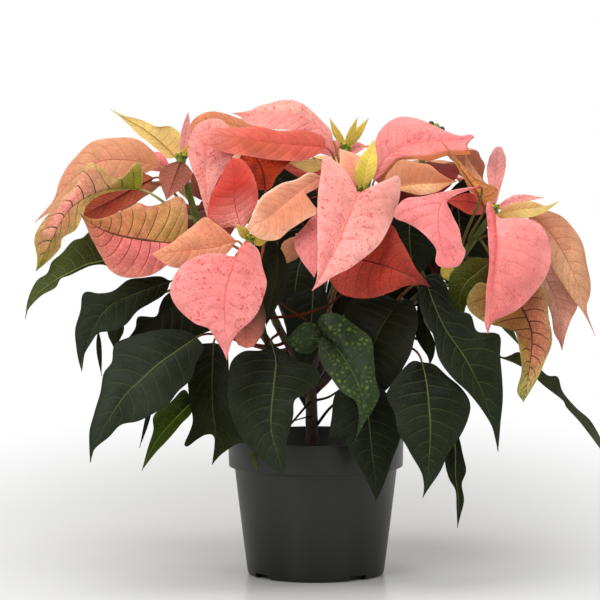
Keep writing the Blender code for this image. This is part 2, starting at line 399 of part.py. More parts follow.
# sprays: branch, place on it, and the leaves that grow there from one foot
SPRAYS = {
    "spray_back_left": ("G", 0.92, (
        ("up", ((-95, 118, 345), (-135, 150, 325), (-180, 180, 290)),
         (-20, -20, 4), (20, 20, -4), OVATE, "bract_pink"),
        ("up", ((-82, 122, 370), (-88, 165, 376), (-98, 215, 343)),
         (-26, 0, 0), (26, 0, 2), OVATE, "bract_pink"),
        ("up", ((-66, 120, 378), (-55, 160, 392), (-45, 205, 375)),
         (-22, -6, 0), (22, 6, 0), OVATE, "bract_tan"),
        ("up", ((-84, 126, 350), (-92, 168, 335), (-95, 196, 290)),
         (-24, -4, 0), (24, 4, 0), OVATE, "bract_coral"))),
    "spray_back_right": ("H", 0.92, (
        ("up", ((55, 140, 372), (62, 184, 380), (72, 228, 350)),
         (-25, 0, 0), (25, 0, 2), OVATE, "bract_pink"),
        ("up", ((74, 128, 366), (114, 154, 383), (152, 188, 363)),
         (-12, 15, 0), (15, -18, 0), OVATE, "bract_tan"),
        ("up", ((38, 134, 374), (14, 166, 387), (-12, 198, 368)),
         (14, 16, 0), (-14, -16, 0), OVATE, "bract_coral"),
        ("up", ((42, 142, 350), (32, 188, 332), (26, 216, 288)),
         (-24, -3, 0), (24, 3, 0), OVATE, "bract_pink"),
        ("up", ((72, 134, 345), (104, 168, 330), (128, 192, 285)),
         (-18, 14, 0), (18, -14, 0), OVATE, "bract_coral"))),
    "spray_side_right": ("E", 0.90, (
        ("up", ((116, 76, 400), (140, 110, 397), (163, 150, 355)),
         (-18, 14, 0), (18, -14, -4), OVATE, "bract_coral"),
        ("up", ((118, 72, 378), (150, 90, 364), (184, 108, 322)),
         (-10, 18, 0), (10, -18, -4), OVATE, "bract_pink"),
        ("top", ((108, 40, 388), (104, 16, 376), (100, -14, 346)),
         (-32, 4, 4), (32, 4, 4), OVATE, "bract_coral"))),
    "spray_side_left": ("A", 0.86, (
        ("up", ((-136, 4, 380), (-175, 40, 394), (-215, 70, 360)),
         (14, 16, 4), (-14, -16, -6), OVATE, "bract_pink"),
        ("up", ((-132, 12, 366), (-160, 58, 366), (-190, 98, 332)),
         (16, 14, 0), (-16, -14, 0), OVATE, "bract_tan"))),
    "foliage_back_left": ("G", 0.42, (
        ("up", ((-66, 92, 262), (-110, 132, 266), (-150, 160, 246)),
         (-18, -22, 4), (18, 24, -4), OVATE, "leaf_dark"),
        ("up", ((-48, 98, 244), (-72, 150, 240), (-92, 192, 202)),
         (-26, -8, 0), (26, 8, 0), OVATE, "leaf_dark"),
        ("up", ((-70, 40, 268), (-115, 56, 272), (-150, 84, 258)),
         (-8, 22, 0), (8, -22, 0), OVATE, "leaf_green"))),
    "foliage_back_middle": ("H", 0.36, (
        ("up", ((-10, 88, 264), (-20, 145, 284), (-32, 210, 264)),
         (-30, 0, 0), (30, 0, 0), OVATE, "leaf_dark"),
        ("up", ((26, 92, 238), (34, 145, 232), (40, 192, 194)),
         (-27, 0, 0), (27, 0, 0), OVATE, "leaf_dark"),
        ("top", ((2, 44, 236), (-8, 36, 200), (-8, 30, 150)),
         (-24, 2, 0), (24, 2, 0), OVATE, "leaf_dark"))),
    "foliage_back_right": ("H", 0.48, (
        ("up", ((62, 95, 262), (105, 130, 268), (142, 165, 256)),
         (-18, 24, 0), (18, -22, 0), OVATE, "leaf_dark"),
        ("up", ((66, 78, 240), (108, 108, 232), (136, 140, 198)),
         (-18, 22, 0), (18, -22, 0), OVATE, "leaf_dark"))),
    "foliage_right": ("F", 0.58, (
        ("up", ((118, 14, 284), (152, 58, 288), (190, 98, 266)),
         (-18, 18, 0), (18, -18, 0), OVATE, "leaf_dark"),
        ("up", ((126, 4, 262), (164, 26, 252), (195, 48, 212)),
         (-10, 20, 0), (10, -20, 0), OVATE, "leaf_dark"))),
    "foliage_inner_left": ("D", 0.50, (
        ("top", ((-14, 2, 334), (-30, -14, 366), (-46, -20, 396)),
         (-30, 4, 0), (30, -4, 0), OVATE, "leaf_dark"),
        ("top", ((-8, -6, 318), (-18, -32, 284), (-22, -40, 238)),
         (-30, 4, 0), (30, 4, 0), OVATE, "leaf_dark"),
        ("top", ((-12, -2, 328), (-40, -26, 322), (-66, -38, 300)),
         (4, 4, 22), (-4, 4, -22), OVATE, "leaf_dark"),
        ("top", ((-2, -22, 290), (-4, -48, 250), (-10, -54, 186)),
         (-26, 4, 0), (15, 2, 0), OVATE, "leaf_dark"))),
    "foliage_inner_right": ("F", 0.66, (
        ("top", ((88, -14, 350), (88, -22, 312), (94, -26, 277)),
         (-31, 4, 0), (31, 4, 0), OVATE, "leaf_dark"),
        ("top", ((134, 4, 348), (138, 2, 302), (148, -4, 250)),
         (-34, 4, 0), (33, 4, 0), OVATE, "leaf_dark"))),
}


def smooth_curve(points, count):
    """Samples, even by length, on a smooth line through the given points."""
    pts = np.array(points, float)
    ext = np.vstack([2 * pts[0] - pts[1], pts, 2 * pts[-1] - pts[-2]])
    dense = []
    for i in range(1, len(ext) - 2):
        p0, p1, p2, p3 = ext[i - 1], ext[i], ext[i + 1], ext[i + 2]
        for t in np.linspace(0, 1, 24, endpoint=False):
            q = 2 * p1 + (p2 - p0) * t
            q = q + (2 * p0 - 5 * p1 + 4 * p2 - p3) * t ** 2
            q = q + (3 * p1 - p0 - 3 * p2 + p3) * t ** 3
            dense.append(0.5 * q)
    dense.append(ext[-2])
    dense = np.array(dense)
    run = np.concatenate([[0], np.cumsum(np.linalg.norm(np.diff(dense, axis=0), axis=1))])
    want = np.linspace(0, run[-1], count)
    return np.stack([np.interp(want, run, dense[:, k]) for k in range(3)], 1)


def unit(v):
    v = np.asarray(v, float)
    return v / max(1e-9, float(np.linalg.norm(v)))


def branch_point(key, place):
    """Point at a share of a branch's length, its direction and its radius there."""
    line = smooth_curve(BRANCH[key][1], BRANCH_POINTS)
    i = min(BRANCH_POINTS - 2, int(place * (BRANCH_POINTS - 1)))
    part = place * (BRANCH_POINTS - 1) - i
    radius = BRANCH[key][0] + BRANCH_SWELL - BRANCH_TAPER * place
    return line[i] * (1 - part) + line[i + 1] * part, unit(line[i + 1] - line[i]), radius


def turned_edges(show, line, left, right):
    """Directions of the line, and the edges ordered so the upper face is known."""
    tang = np.gradient(line, axis=0)
    tang = tang / np.linalg.norm(tang, axis=1)[:, None]
    view = (0.0, 0.0, 1.0) if show == "up" else (0.0, -1.0, 0.35)
    span = (right - left).mean(axis=0)
    face = np.dot(np.cross(span, tang[len(tang) // 2]), view)
    if (face > 0) != (show != "under"):
        left, right = right, left
    return tang, left, right


def own_edges(rib, edge_a, edge_b, rows):
    """Midrib and both edges of a blade drawn point by point, foot and tip shared."""
    line = smooth_curve(rib, rows)
    left = smooth_curve((rib[0],) + edge_a + (rib[-1],), rows)
    right = smooth_curve((rib[0],) + edge_b + (rib[-1],), rows)
    return line, left, right


def even_edges(rib, a, b, outline, rows):
    """Midrib and both edges of a blade given by its two sides and an outline."""
    line = smooth_curve(rib, rows)
    width = np.interp(np.linspace(0, 1, rows), np.linspace(0, 1, len(outline)), outline)
    left = line + np.array(a, float) * width[:, None]
    right = line + np.array(b, float) * width[:, None]
    return line, left, right


def least_width(line, left, right, tang, foot_half, least):
    """Keeps both edges a little off the midrib, so the blade never has no width."""
    side = right - left
    side = side - tang * np.sum(side * tang, axis=1)[:, None]
    size = np.linalg.norm(side, axis=1)
    good = np.where(size > 2.0)[0]
    picks = good[np.argmin(np.abs(np.arange(len(line))[:, None] - good[None, :]), axis=1)]
    side = side[picks] / size[picks][:, None]
    room = np.full(len(line), least)
    room[0] = foot_half
    out = []
    for edge, sign in ((left, -1.0), (right, 1.0)):
        off = edge - line
        size = np.linalg.norm(off, axis=1)
        out.append(np.where((size < room)[:, None], line + sign * side * room[:, None], edge))
    return side, out[0], out[1]


def stalk_rows(start, aside, line, tang, side, steps, across, half):
    """Rows of the leaf stalk, from where it starts to the foot of the blade."""
    base = line[0]
    reach = float(np.linalg.norm(base - start))
    rows = []
    for i in range(steps):
        s = i / steps
        p = (2 * s ** 3 - 3 * s ** 2 + 1) * start + (3 * s ** 2 - 2 * s ** 3) * base
        p = p + (s ** 3 - 2 * s ** 2 + s) * (0.4 * (base - start) + 0.6 * reach * aside)
        p = p + (s ** 3 - s ** 2) * tang[0] * reach * 0.7
        rows.append([p + side * half * v for v in np.linspace(-1, 1, across + 1)])
    return rows


def beside(key, place, target, gap):
    """A point just off a branch on the side that looks at the target, and that side."""
    root, course, radius = branch_point(key, place)
    away = np.asarray(target, float) - root
    aside = unit(away - course * float(np.dot(away, course)))
    return root + aside * (radius + gap), aside


def blade_rows(line, left, right, tang, puff, across):
    """Rows of the blade, from its foot to its tip, across from edge to edge."""
    rows = []
    for i in range(len(line)):
        up = unit(np.cross(right[i] - left[i], tang[i]))
        row = []
        for v in np.linspace(-1, 1, across + 1):
            off = (left[i] if v < 0 else right[i]) - line[i]
            m = abs(v)
            row.append(line[i] + off * m + up * puff * np.linalg.norm(off) * 2 * m * (1 - m))
        rows.append(row)
    return rows


def leaf_grid(spec, along, across, steps):
    """Points of a whole leaf, stalk first, one row for each step along it."""
    show, key, place, rib, edge_a, edge_b = spec[:6]
    line, left, right = own_edges(rib, edge_a, edge_b, along + 1)
    tang, left, right = turned_edges(show, line, left, right)
    side, left, right = least_width(line, left, right, tang, STALK_HALF_WIDTH, 0.5)
    start, aside = beside(key, place, line[0], STALK_GAP)
    rows = stalk_rows(start, aside, line, tang, side[0], steps, across, STALK_HALF_WIDTH)
    rows += blade_rows(line, left, right, tang, 0.1, across)
    return np.array(rows)


def spray_foot(key, place, members):
    """Middle of the small foot that the leaves of a spray share."""
    target = np.mean([member[1][0] for member in members], axis=0)
    return beside(key, place, target, SPRAY_FOOT + 0.35)[0]


def member_grid(spec, foot, along, across, steps):
    """Points of one leaf of a spray, its stalk starting inside the shared foot."""
    show, rib, a, b, outline = spec[:5]
    line, left, right = even_edges(rib, a, b, outline, along + 1)
    tang, left, right = turned_edges(show, line, left, right)
    side, left, right = least_width(line, left, right, tang, STALK_HALF_WIDTH, 0.5)
    aside = unit(line[0] - foot)
    rows = stalk_rows(foot, aside, line, tang, side[0], steps, across, STALK_HALF_WIDTH)
    rows += blade_rows(line, left, right, tang, 0.1, across)
    return np.array(rows)


def young_grid(spec, along, across):
    """Points of a small young bract of a flower head."""
    show, rib, a, b, outline = spec
    line, left, right = even_edges(rib, a, b, outline, along + 1)
    tang, left, right = turned_edges(show, line, left, right)
    side, left, right = least_width(line, left, right, tang, 1.5, 0.5)
    return np.array(blade_rows(line, left, right, tang, 0.08, across))
# --- plant tables end


# --------------------------------------------------------------- scene set-up
for stale in list(bpy.data.objects):
    bpy.data.objects.remove(stale, do_unlink=True)

PARTS = bpy.data.collections.new("potted_poinsettia")
CUTTERS = bpy.data.collections.new("cutters")
bpy.context.scene.collection.children.link(PARTS)
bpy.context.scene.collection.children.link(CUTTERS)
CUTTERS.hide_render = True

COLOURS = {
    "bract_pink": ((0.90, 0.36, 0.32), 0.55),
    "bract_coral": ((0.72, 0.16, 0.12), 0.55),
    "bract_tan": ((0.74, 0.36, 0.22), 0.55),
    "bract_yellow": ((0.78, 0.62, 0.22), 0.55),
    "bract_marbled": ((0.66, 0.34, 0.25), 0.55),
    "leaf_dark": ((0.022, 0.032, 0.024), 0.50),
    "leaf_green": ((0.09, 0.15, 0.03), 0.55),
    "leaf_mottled": ((0.10, 0.20, 0.06), 0.50),
    "bark": ((0.16, 0.08, 0.04), 0.70),
    "flower_green": ((0.55, 0.58, 0.10), 0.50),
    "potting_soil": ((0.020, 0.014, 0.010), 0.95),
    "pot_plastic": ((0.030, 0.031, 0.028), 0.50),
}
MATERIALS = {}
for slot, (rgb, rough) in COLOURS.items():
    mat = bpy.data.materials.new(slot)
    mat.use_nodes = True
    shader = mat.node_tree.nodes["Principled BSDF"]
    shader.inputs["Base Color"].default_value = (*rgb, 1.0)
    shader.inputs["Roughness"].default_value = rough
    MATERIALS[slot] = mat


def new_object(name, mesh, slot, home):
    obj = bpy.data.objects.new(name, mesh)
    home.objects.link(obj)
    if slot:
        mesh.materials.append(MATERIALS[slot])
    return obj


def grid_mesh(name, rows):
    """A sheet whose points are the given rows, made from a plain grid."""
    rows = np.asarray(rows) * MM
    count_u, count_v = rows.shape[0], rows.shape[1]
    bm = bmesh.new()
    bmesh.ops.create_grid(bm, x_segments=count_v - 1, y_segments=count_u - 1, size=1.0)
    for vert in bm.verts:
        j = int(round((vert.co.x + 1) / 2 * (count_v - 1)))
        i = int(round((vert.co.y + 1) / 2 * (count_u - 1)))
        vert.co = rows[i][j]
    mesh = bpy.data.meshes.new(name)
    bm.to_mesh(mesh)
    bm.free()
    return mesh


def thicken(obj, thickness):
    mod = obj.modifiers.new("thickness", "SOLIDIFY")
    mod.thickness = thickness * MM
    mod.offset = 0.0
    mod.use_even_offset = False
    return obj


def baked(obj):
    """The object's finished shape, with its modifiers applied, as a new mesh."""
    view = bpy.context.evaluated_depsgraph_get()
    view.update()
    return bpy.data.meshes.new_from_object(obj.evaluated_get(view))


def fuse(base, others):
    """Join closed shapes to the base as one closed body."""
    for other in others:
        mod = base.modifiers.new("join", "BOOLEAN")
        mod.operation = "UNION"
        mod.solver = "EXACT"
        mod.object = other


def spun(name, profile, steps, slot, home):
    """A turned shape from a half outline given as radius and height."""
    mesh = bpy.data.meshes.new(name)
    points = [(r * MM, 0.0, z * MM) for r, z in profile]
    mesh.from_pydata(points, [(i, i + 1) for i in range(len(points) - 1)], [])
    obj = new_object(name, mesh, slot, home)
    mod = obj.modifiers.new("turn", "SCREW")
    mod.steps = steps
    mod.render_steps = steps
    mod.use_merge_vertices = True
    mod.merge_threshold = 0.0001
    mod.use_smooth_shade = True
    return obj


def tube(name, points, radii, home):
    """A round closed tube along a smooth line."""
    data = bpy.data.curves.new(name, "CURVE")
    data.dimensions = "3D"
    data.bevel_depth = 1.0 * MM
    data.bevel_resolution = 2
    data.use_fill_caps = True
    spline = data.splines.new("POLY")
    spline.points.add(len(points) - 1)
    for point, place, radius in zip(spline.points, points, radii):
        point.co = (place[0] * MM, place[1] * MM, place[2] * MM, 1.0)
        point.radius = radius
    obj = bpy.data.objects.new(name, data)
    home.objects.link(obj)
    mesh = baked(obj)
    bpy.data.objects.remove(obj, do_unlink=True)
    return new_object(name, mesh, None, home)


# ------------------------------------------------------------------- the pot
rim_foot = POT_HEIGHT - POT_RIM_BAND
inner_top = POT_WALL_TOP_RADIUS - POT_WALL
inner_base = POT_BASE_RADIUS - POT_WALL
POT_PROFILE = (
    (0.0, POT_FLOOR),
    (inner_base - 2.0, POT_FLOOR),
    (inner_base, POT_FLOOR + 2.0),
    (inner_top, rim_foot - 1.0),
    (POT_RIM_RADIUS - 2.6, rim_foot + 1.6),
    (POT_RIM_RADIUS - 1.9, POT_HEIGHT - 1.0),
    (POT_RIM_RADIUS - 1.3, POT_HEIGHT),
    (POT_RIM_RADIUS - 0.5, POT_HEIGHT - 0.1),
    (POT_RIM_RADIUS, POT_HEIGHT - 1.0),
    (POT_RIM_RADIUS - 0.8, rim_foot + 0.6),
    (POT_RIM_RADIUS - 1.6, rim_foot),
    (POT_WALL_TOP_RADIUS, rim_foot - 0.6),
    (POT_WALL_TOP_RADIUS - 0.4, rim_foot - 2.0),
    (POT_BASE_RADIUS + 0.1, POT_CORNER),
    (POT_BASE_RADIUS - 0.9, POT_CORNER * 0.35),
    (POT_BASE_RADIUS - POT_CORNER, 0.0),
    (0.0, 0.0),
)
pot = spun("pot", POT_PROFILE, 44, "pot_plastic", PARTS)
for number, angle in enumerate(DRAIN_ANGLES):
    bm = bmesh.new()
    bmesh.ops.create_cube(bm, size=1.0)
    length = POT_BASE_RADIUS + 6.0 - DRAIN_INNER_RADIUS
    for vert in bm.verts:
        x = vert.co.x * DRAIN_WIDTH
        y = -(DRAIN_INNER_RADIUS + length * (0.5 - vert.co.y))
        z = (vert.co.z + 0.5) * (DRAIN_HEIGHT + 2.0) - 2.0
        turn = math.radians(angle)
        vert.co = (
            (x * math.cos(turn) - y * math.sin(turn)) * MM,
            (x * math.sin(turn) + y * math.cos(turn)) * MM,
            z * MM,
        )
    mesh = bpy.data.meshes.new("drain_cutter")
    bm.to_mesh(mesh)
    bm.free()
    cutter = new_object("drain_cutter_%d" % number, mesh, None, CUTTERS)
    mod = pot.modifiers.new("drain", "BOOLEAN")
    mod.operation = "DIFFERENCE"
    mod.solver = "EXACT"
    mod.object = cutter

# ------------------------------------------------------------------ the soil
slope = (inner_top - inner_base) / (rim_foot - 1.0 - POT_FLOOR - 2.0)
soil_foot = POT_FLOOR + SOIL_CLEARANCE
SOIL_PROFILE = (
    (0.0, SOIL_TOP + 1.5),
    (30.0, SOIL_TOP + 1.0),
    (60.0, SOIL_TOP - 0.5),
    (inner_top + 3.0, SOIL_TOP - 1.5),
    (inner_top + 3.6, rim_foot + 3.4),
    (inner_top - 0.8, rim_foot - 1.2),
    (inner_base - SOIL_CLEARANCE - 0.3, soil_foot + 2.4),
    (inner_base - 3.2, soil_foot),
    (0.0, soil_foot),
)
soil = spun("potting_soil", SOIL_PROFILE, 28, "potting_soil", PARTS)
bm = bmesh.new()
bmesh.ops.create_cone(
    bm, cap_ends=True, segments=20, radius1=STEM_SOCKET * MM, radius2=STEM_SOCKET * MM, depth=20 * MM
)
for vert in bm.verts:
    vert.co.x += STEM_FOOT[0] * MM
    vert.co.z += (STEM_FOOT[2] + 9.4) * MM
mesh = bpy.data.meshes.new("stem_socket")
bm.to_mesh(mesh)
bm.free()
socket = new_object("stem_socket", mesh, None, CUTTERS)
mod = soil.modifiers.new("socket", "BOOLEAN")
mod.operation = "DIFFERENCE"
mod.solver = "EXACT"
mod.object = socket

# ------------------------------------------------------------------ the stem
trunk_line = smooth_curve(TRUNK, 6)
trunk_radii = np.linspace(STEM_RADIUS, STEM_TOP_RADIUS, 6)
stem = tube("stem", trunk_line, trunk_radii, PARTS)
stem.data.materials.append(MATERIALS["bark"])
limbs = []
for key, (radius, points) in BRANCH.items():
    line = smooth_curve(points, BRANCH_POINTS)
    swollen = radius + BRANCH_SWELL
    radii = np.linspace(swollen, swollen - BRANCH_TAPER, BRANCH_POINTS)
    limbs.append(tube("limb_" + key, line, radii, CUTTERS))
fuse(stem, limbs)

# ---------------------------------------------------------- bracts and leaves
for name, spec in LEAVES.items():
    rows = leaf_grid(spec, LEAF_ALONG, LEAF_ACROSS, STALK_STEPS)
    leaf = new_object(name, grid_mesh(name, rows), spec[6], PARTS)
    thicken(leaf, LEAF_THICKNESS)

# ----------------------------------------------- the sprays and flower heads


def sheet_solid(name, rows):
    """A thickened sheet as a plain closed mesh, ready to be fused to others."""
    sheet = new_object("sheet", grid_mesh("sheet", rows), None, CUTTERS)
    thicken(sheet, LEAF_THICKNESS)
    solid = baked(sheet)
    bpy.data.objects.remove(sheet, do_unlink=True)
    return new_object(name, solid, None, CUTTERS)


def ball(name, centre, radius, squash, segments, rings, home):
    bm = bmesh.new()
    bmesh.ops.create_uvsphere(bm, u_segments=segments, v_segments=rings, radius=radius * MM)
    for vert in bm.verts:
        vert.co.z *= squash
        vert.co.x += centre[0] * MM
        vert.co.y += centre[1] * MM
        vert.co.z += centre[2] * MM
    mesh = bpy.data.meshes.new(name)
    bm.to_mesh(mesh)
    bm.free()
    return new_object(name, mesh, None, home)


for name, (key, place, members) in SPRAYS.items():
    foot = spray_foot(key, place, members)
    spray = ball(name, foot, SPRAY_FOOT, 1.0, 8, 6, PARTS)
    spray.data.materials.append(MATERIALS[members[0][5]])
    bits = []
    for number, spec in enumerate(members):
        rows = member_grid(spec, foot, LEAF_ALONG, SPRAY_ACROSS, STALK_STEPS)
        bits.append(sheet_solid("%s_%d" % (name, number), rows))
    fuse(spray, bits)

for name, (centre, cups, young) in HEADS.items():
    head = ball(name, centre, HEAD_CORE, 0.7, 10, 6, PARTS)
    head.data.materials.append(MATERIALS["flower_green"])
    bits = []
    for number, shift in enumerate(cups):
        place = [centre[k] + shift[k] for k in range(3)]
        bits.append(ball("%s_cup_%d" % (name, number), place, HEAD_CUP, 1.25, 8, 5, CUTTERS))
    for number, spec in enumerate(young):
        bits.append(sheet_solid("%s_young_%d" % (name, number), young_grid(spec, 6, 2)))
    fuse(head, bits)
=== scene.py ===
import math

import bmesh
import bpy
import numpy as np
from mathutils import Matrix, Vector, noise


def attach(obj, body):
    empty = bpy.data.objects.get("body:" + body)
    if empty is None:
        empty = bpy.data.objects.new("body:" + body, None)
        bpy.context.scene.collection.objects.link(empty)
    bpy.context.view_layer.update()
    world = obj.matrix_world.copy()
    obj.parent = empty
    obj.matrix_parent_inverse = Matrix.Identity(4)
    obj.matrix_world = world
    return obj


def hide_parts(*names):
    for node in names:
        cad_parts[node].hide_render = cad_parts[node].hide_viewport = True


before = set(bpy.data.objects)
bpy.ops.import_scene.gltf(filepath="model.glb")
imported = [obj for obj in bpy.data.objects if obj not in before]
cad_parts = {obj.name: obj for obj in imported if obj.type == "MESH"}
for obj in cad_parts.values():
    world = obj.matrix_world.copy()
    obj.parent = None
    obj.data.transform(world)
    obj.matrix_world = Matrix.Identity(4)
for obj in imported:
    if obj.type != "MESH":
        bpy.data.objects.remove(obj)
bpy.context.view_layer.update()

# ------------------------------------------------------------- driving sizes
# lengths are millimetres, and metres only for the floor, the lamps and the camera
MM = 0.001
POT_HEIGHT = 131.0
POT_RIM_RADIUS = 83.0
POT_RIM_BAND = 28.0
POT_WALL_TOP_RADIUS = 77.0
POT_BASE_RADIUS = 64.5
POT_WALL = 1.8
POT_FLOOR = 2.4
POT_CORNER = 3.5
POT_STEPS = 128
DRAIN_ANGLES = (-52.0, 38.0, 128.0, 218.0)
DRAIN_WIDTH = 19.0
DRAIN_HEIGHT = 5.0
DRAIN_INNER_RADIUS = 56.0
SOIL_TOP = 108.0
SOIL_CLEARANCE = 0.5
SOIL_LUMPS = ((0.07, 1.6), (0.22, 0.9), (0.6, 0.5))     # fineness and height
CRUMBS = 420
CRUMB_REACH = 75.0
STEM_RADIUS = 6.2
STEM_TOP_RADIUS = 5.2
BRANCH_POINTS = 10
BRANCH_SWELL = 0.6
BRANCH_TAPER = 1.0
TWIG_ROWS = 24
# samples along a blade and across each half, how far it is puffed up, its half
# width at the foot, and the radii of its stalk and midrib
FULL_SIZE = {"rows": 60, "half": 12, "puff": 0.1, "foot": 0.9, "stalk": 1.35, "rib": 0.85}
YOUNG_SIZE = {"rows": 36, "half": 8, "puff": 0.08, "foot": 1.0, "stalk": 0.9, "rib": 0.7}
LOOSE_SIZE = {"rows": 36, "half": 8, "puff": 0.08, "foot": 0.9, "stalk": 1.0, "rib": 0.7}
BLADE_THICKNESS = 0.42
EDGE_THICKNESS = 0.2
LEAST_HALF = 0.3            # no half of a blade is narrower
CLEAR_WIDTH = 2.0           # from here on the width shows which way a blade lies
FULL_RELIEF_WIDTH = 22.0    # half width from which quilt and ripple are full
STALK_RING = 8
STALK_ROWS = 14
STALK_SUNK = 1.5            # how deep a stalk starts in its branch
SPRAY_FOOT = 2.95           # how far the shared foot of a spray stands off its branch
HEAD_DROP = 1.5
VEIN_PAIRS = 11.0
VEIN_SWEEP = 0.09
VEIN_BEND = 0.07
VEIN_STAGGER = 0.4
UNDER_MARKS = (0.9, 0.15, 0.9)      # share of veins, flecks and net left on the underside
QUILT = 0.55
RIB_GROOVE = 0.5
RIPPLE = 1.3
RIPPLE_WAVES = 3.4
SPLINE_STEPS = 24
SEAM_WELD = 1e-7
SPUN_WELD = 1e-6
PLANT_MIDDLE = (0.0, 0.0, 0.30)
CAMERA_PLACE = (-0.015, -4.0, 0.593)
CAMERA_DIP = 4.76
WORLD_LIGHT = 0.46

# ---------------------------------------------------------- the plant's table
TRUNK = ((-4, 0, 101), (-4, 0, 150), (-5, -2, 190))
BRANCH = {
    "A": (3.4, ((-4, 0, 165), (-55, -5, 235), (-105, -15, 320), (-126, -20, 389))),
    "B": (3.4, ((-5, -2, 185), (-36, -45, 240), (-53, -88, 290), (-60, -107, 321))),
    "C": (3.4, ((-5, -2, 187), (10, -20, 250), (32, -42, 320), (42, -57, 361))),
    "D": (3.2, ((-4, 0, 188), (5, 12, 260), (20, 18, 340), (28, 10, 397))),
    "E": (3.2, ((-3, 0, 180), (35, 30, 250), (85, 52, 340), (106, 60, 405))),
    "F": (3.4, ((-3, 0, 172), (50, -5, 225), (125, -20, 290), (164, -31, 342.5))),
    "G": (3.2, ((-4, 2, 176), (-30, 45, 245), (-60, 85, 320), (-75, 100, 370))),
    "H": (3.2, ((-3, 2, 182), (15, 50, 250), (40, 100, 320), (52, 120, 368))),
}
OVATE = (0.03, 0.55, 0.90, 1.00, 0.95, 0.78, 0.52, 0.25, 0.01)
LANCE = (0.03, 0.38, 0.72, 0.94, 1.00, 0.86, 0.60, 0.30, 0.01)
LATE = (0.03, 0.50, 0.85, 1.00, 1.00, 0.95, 0.75, 0.45, 0.01)
SPOON = (0.05, 0.28, 0.42, 0.58, 0.75, 0.92, 1.00, 0.85, 0.35)
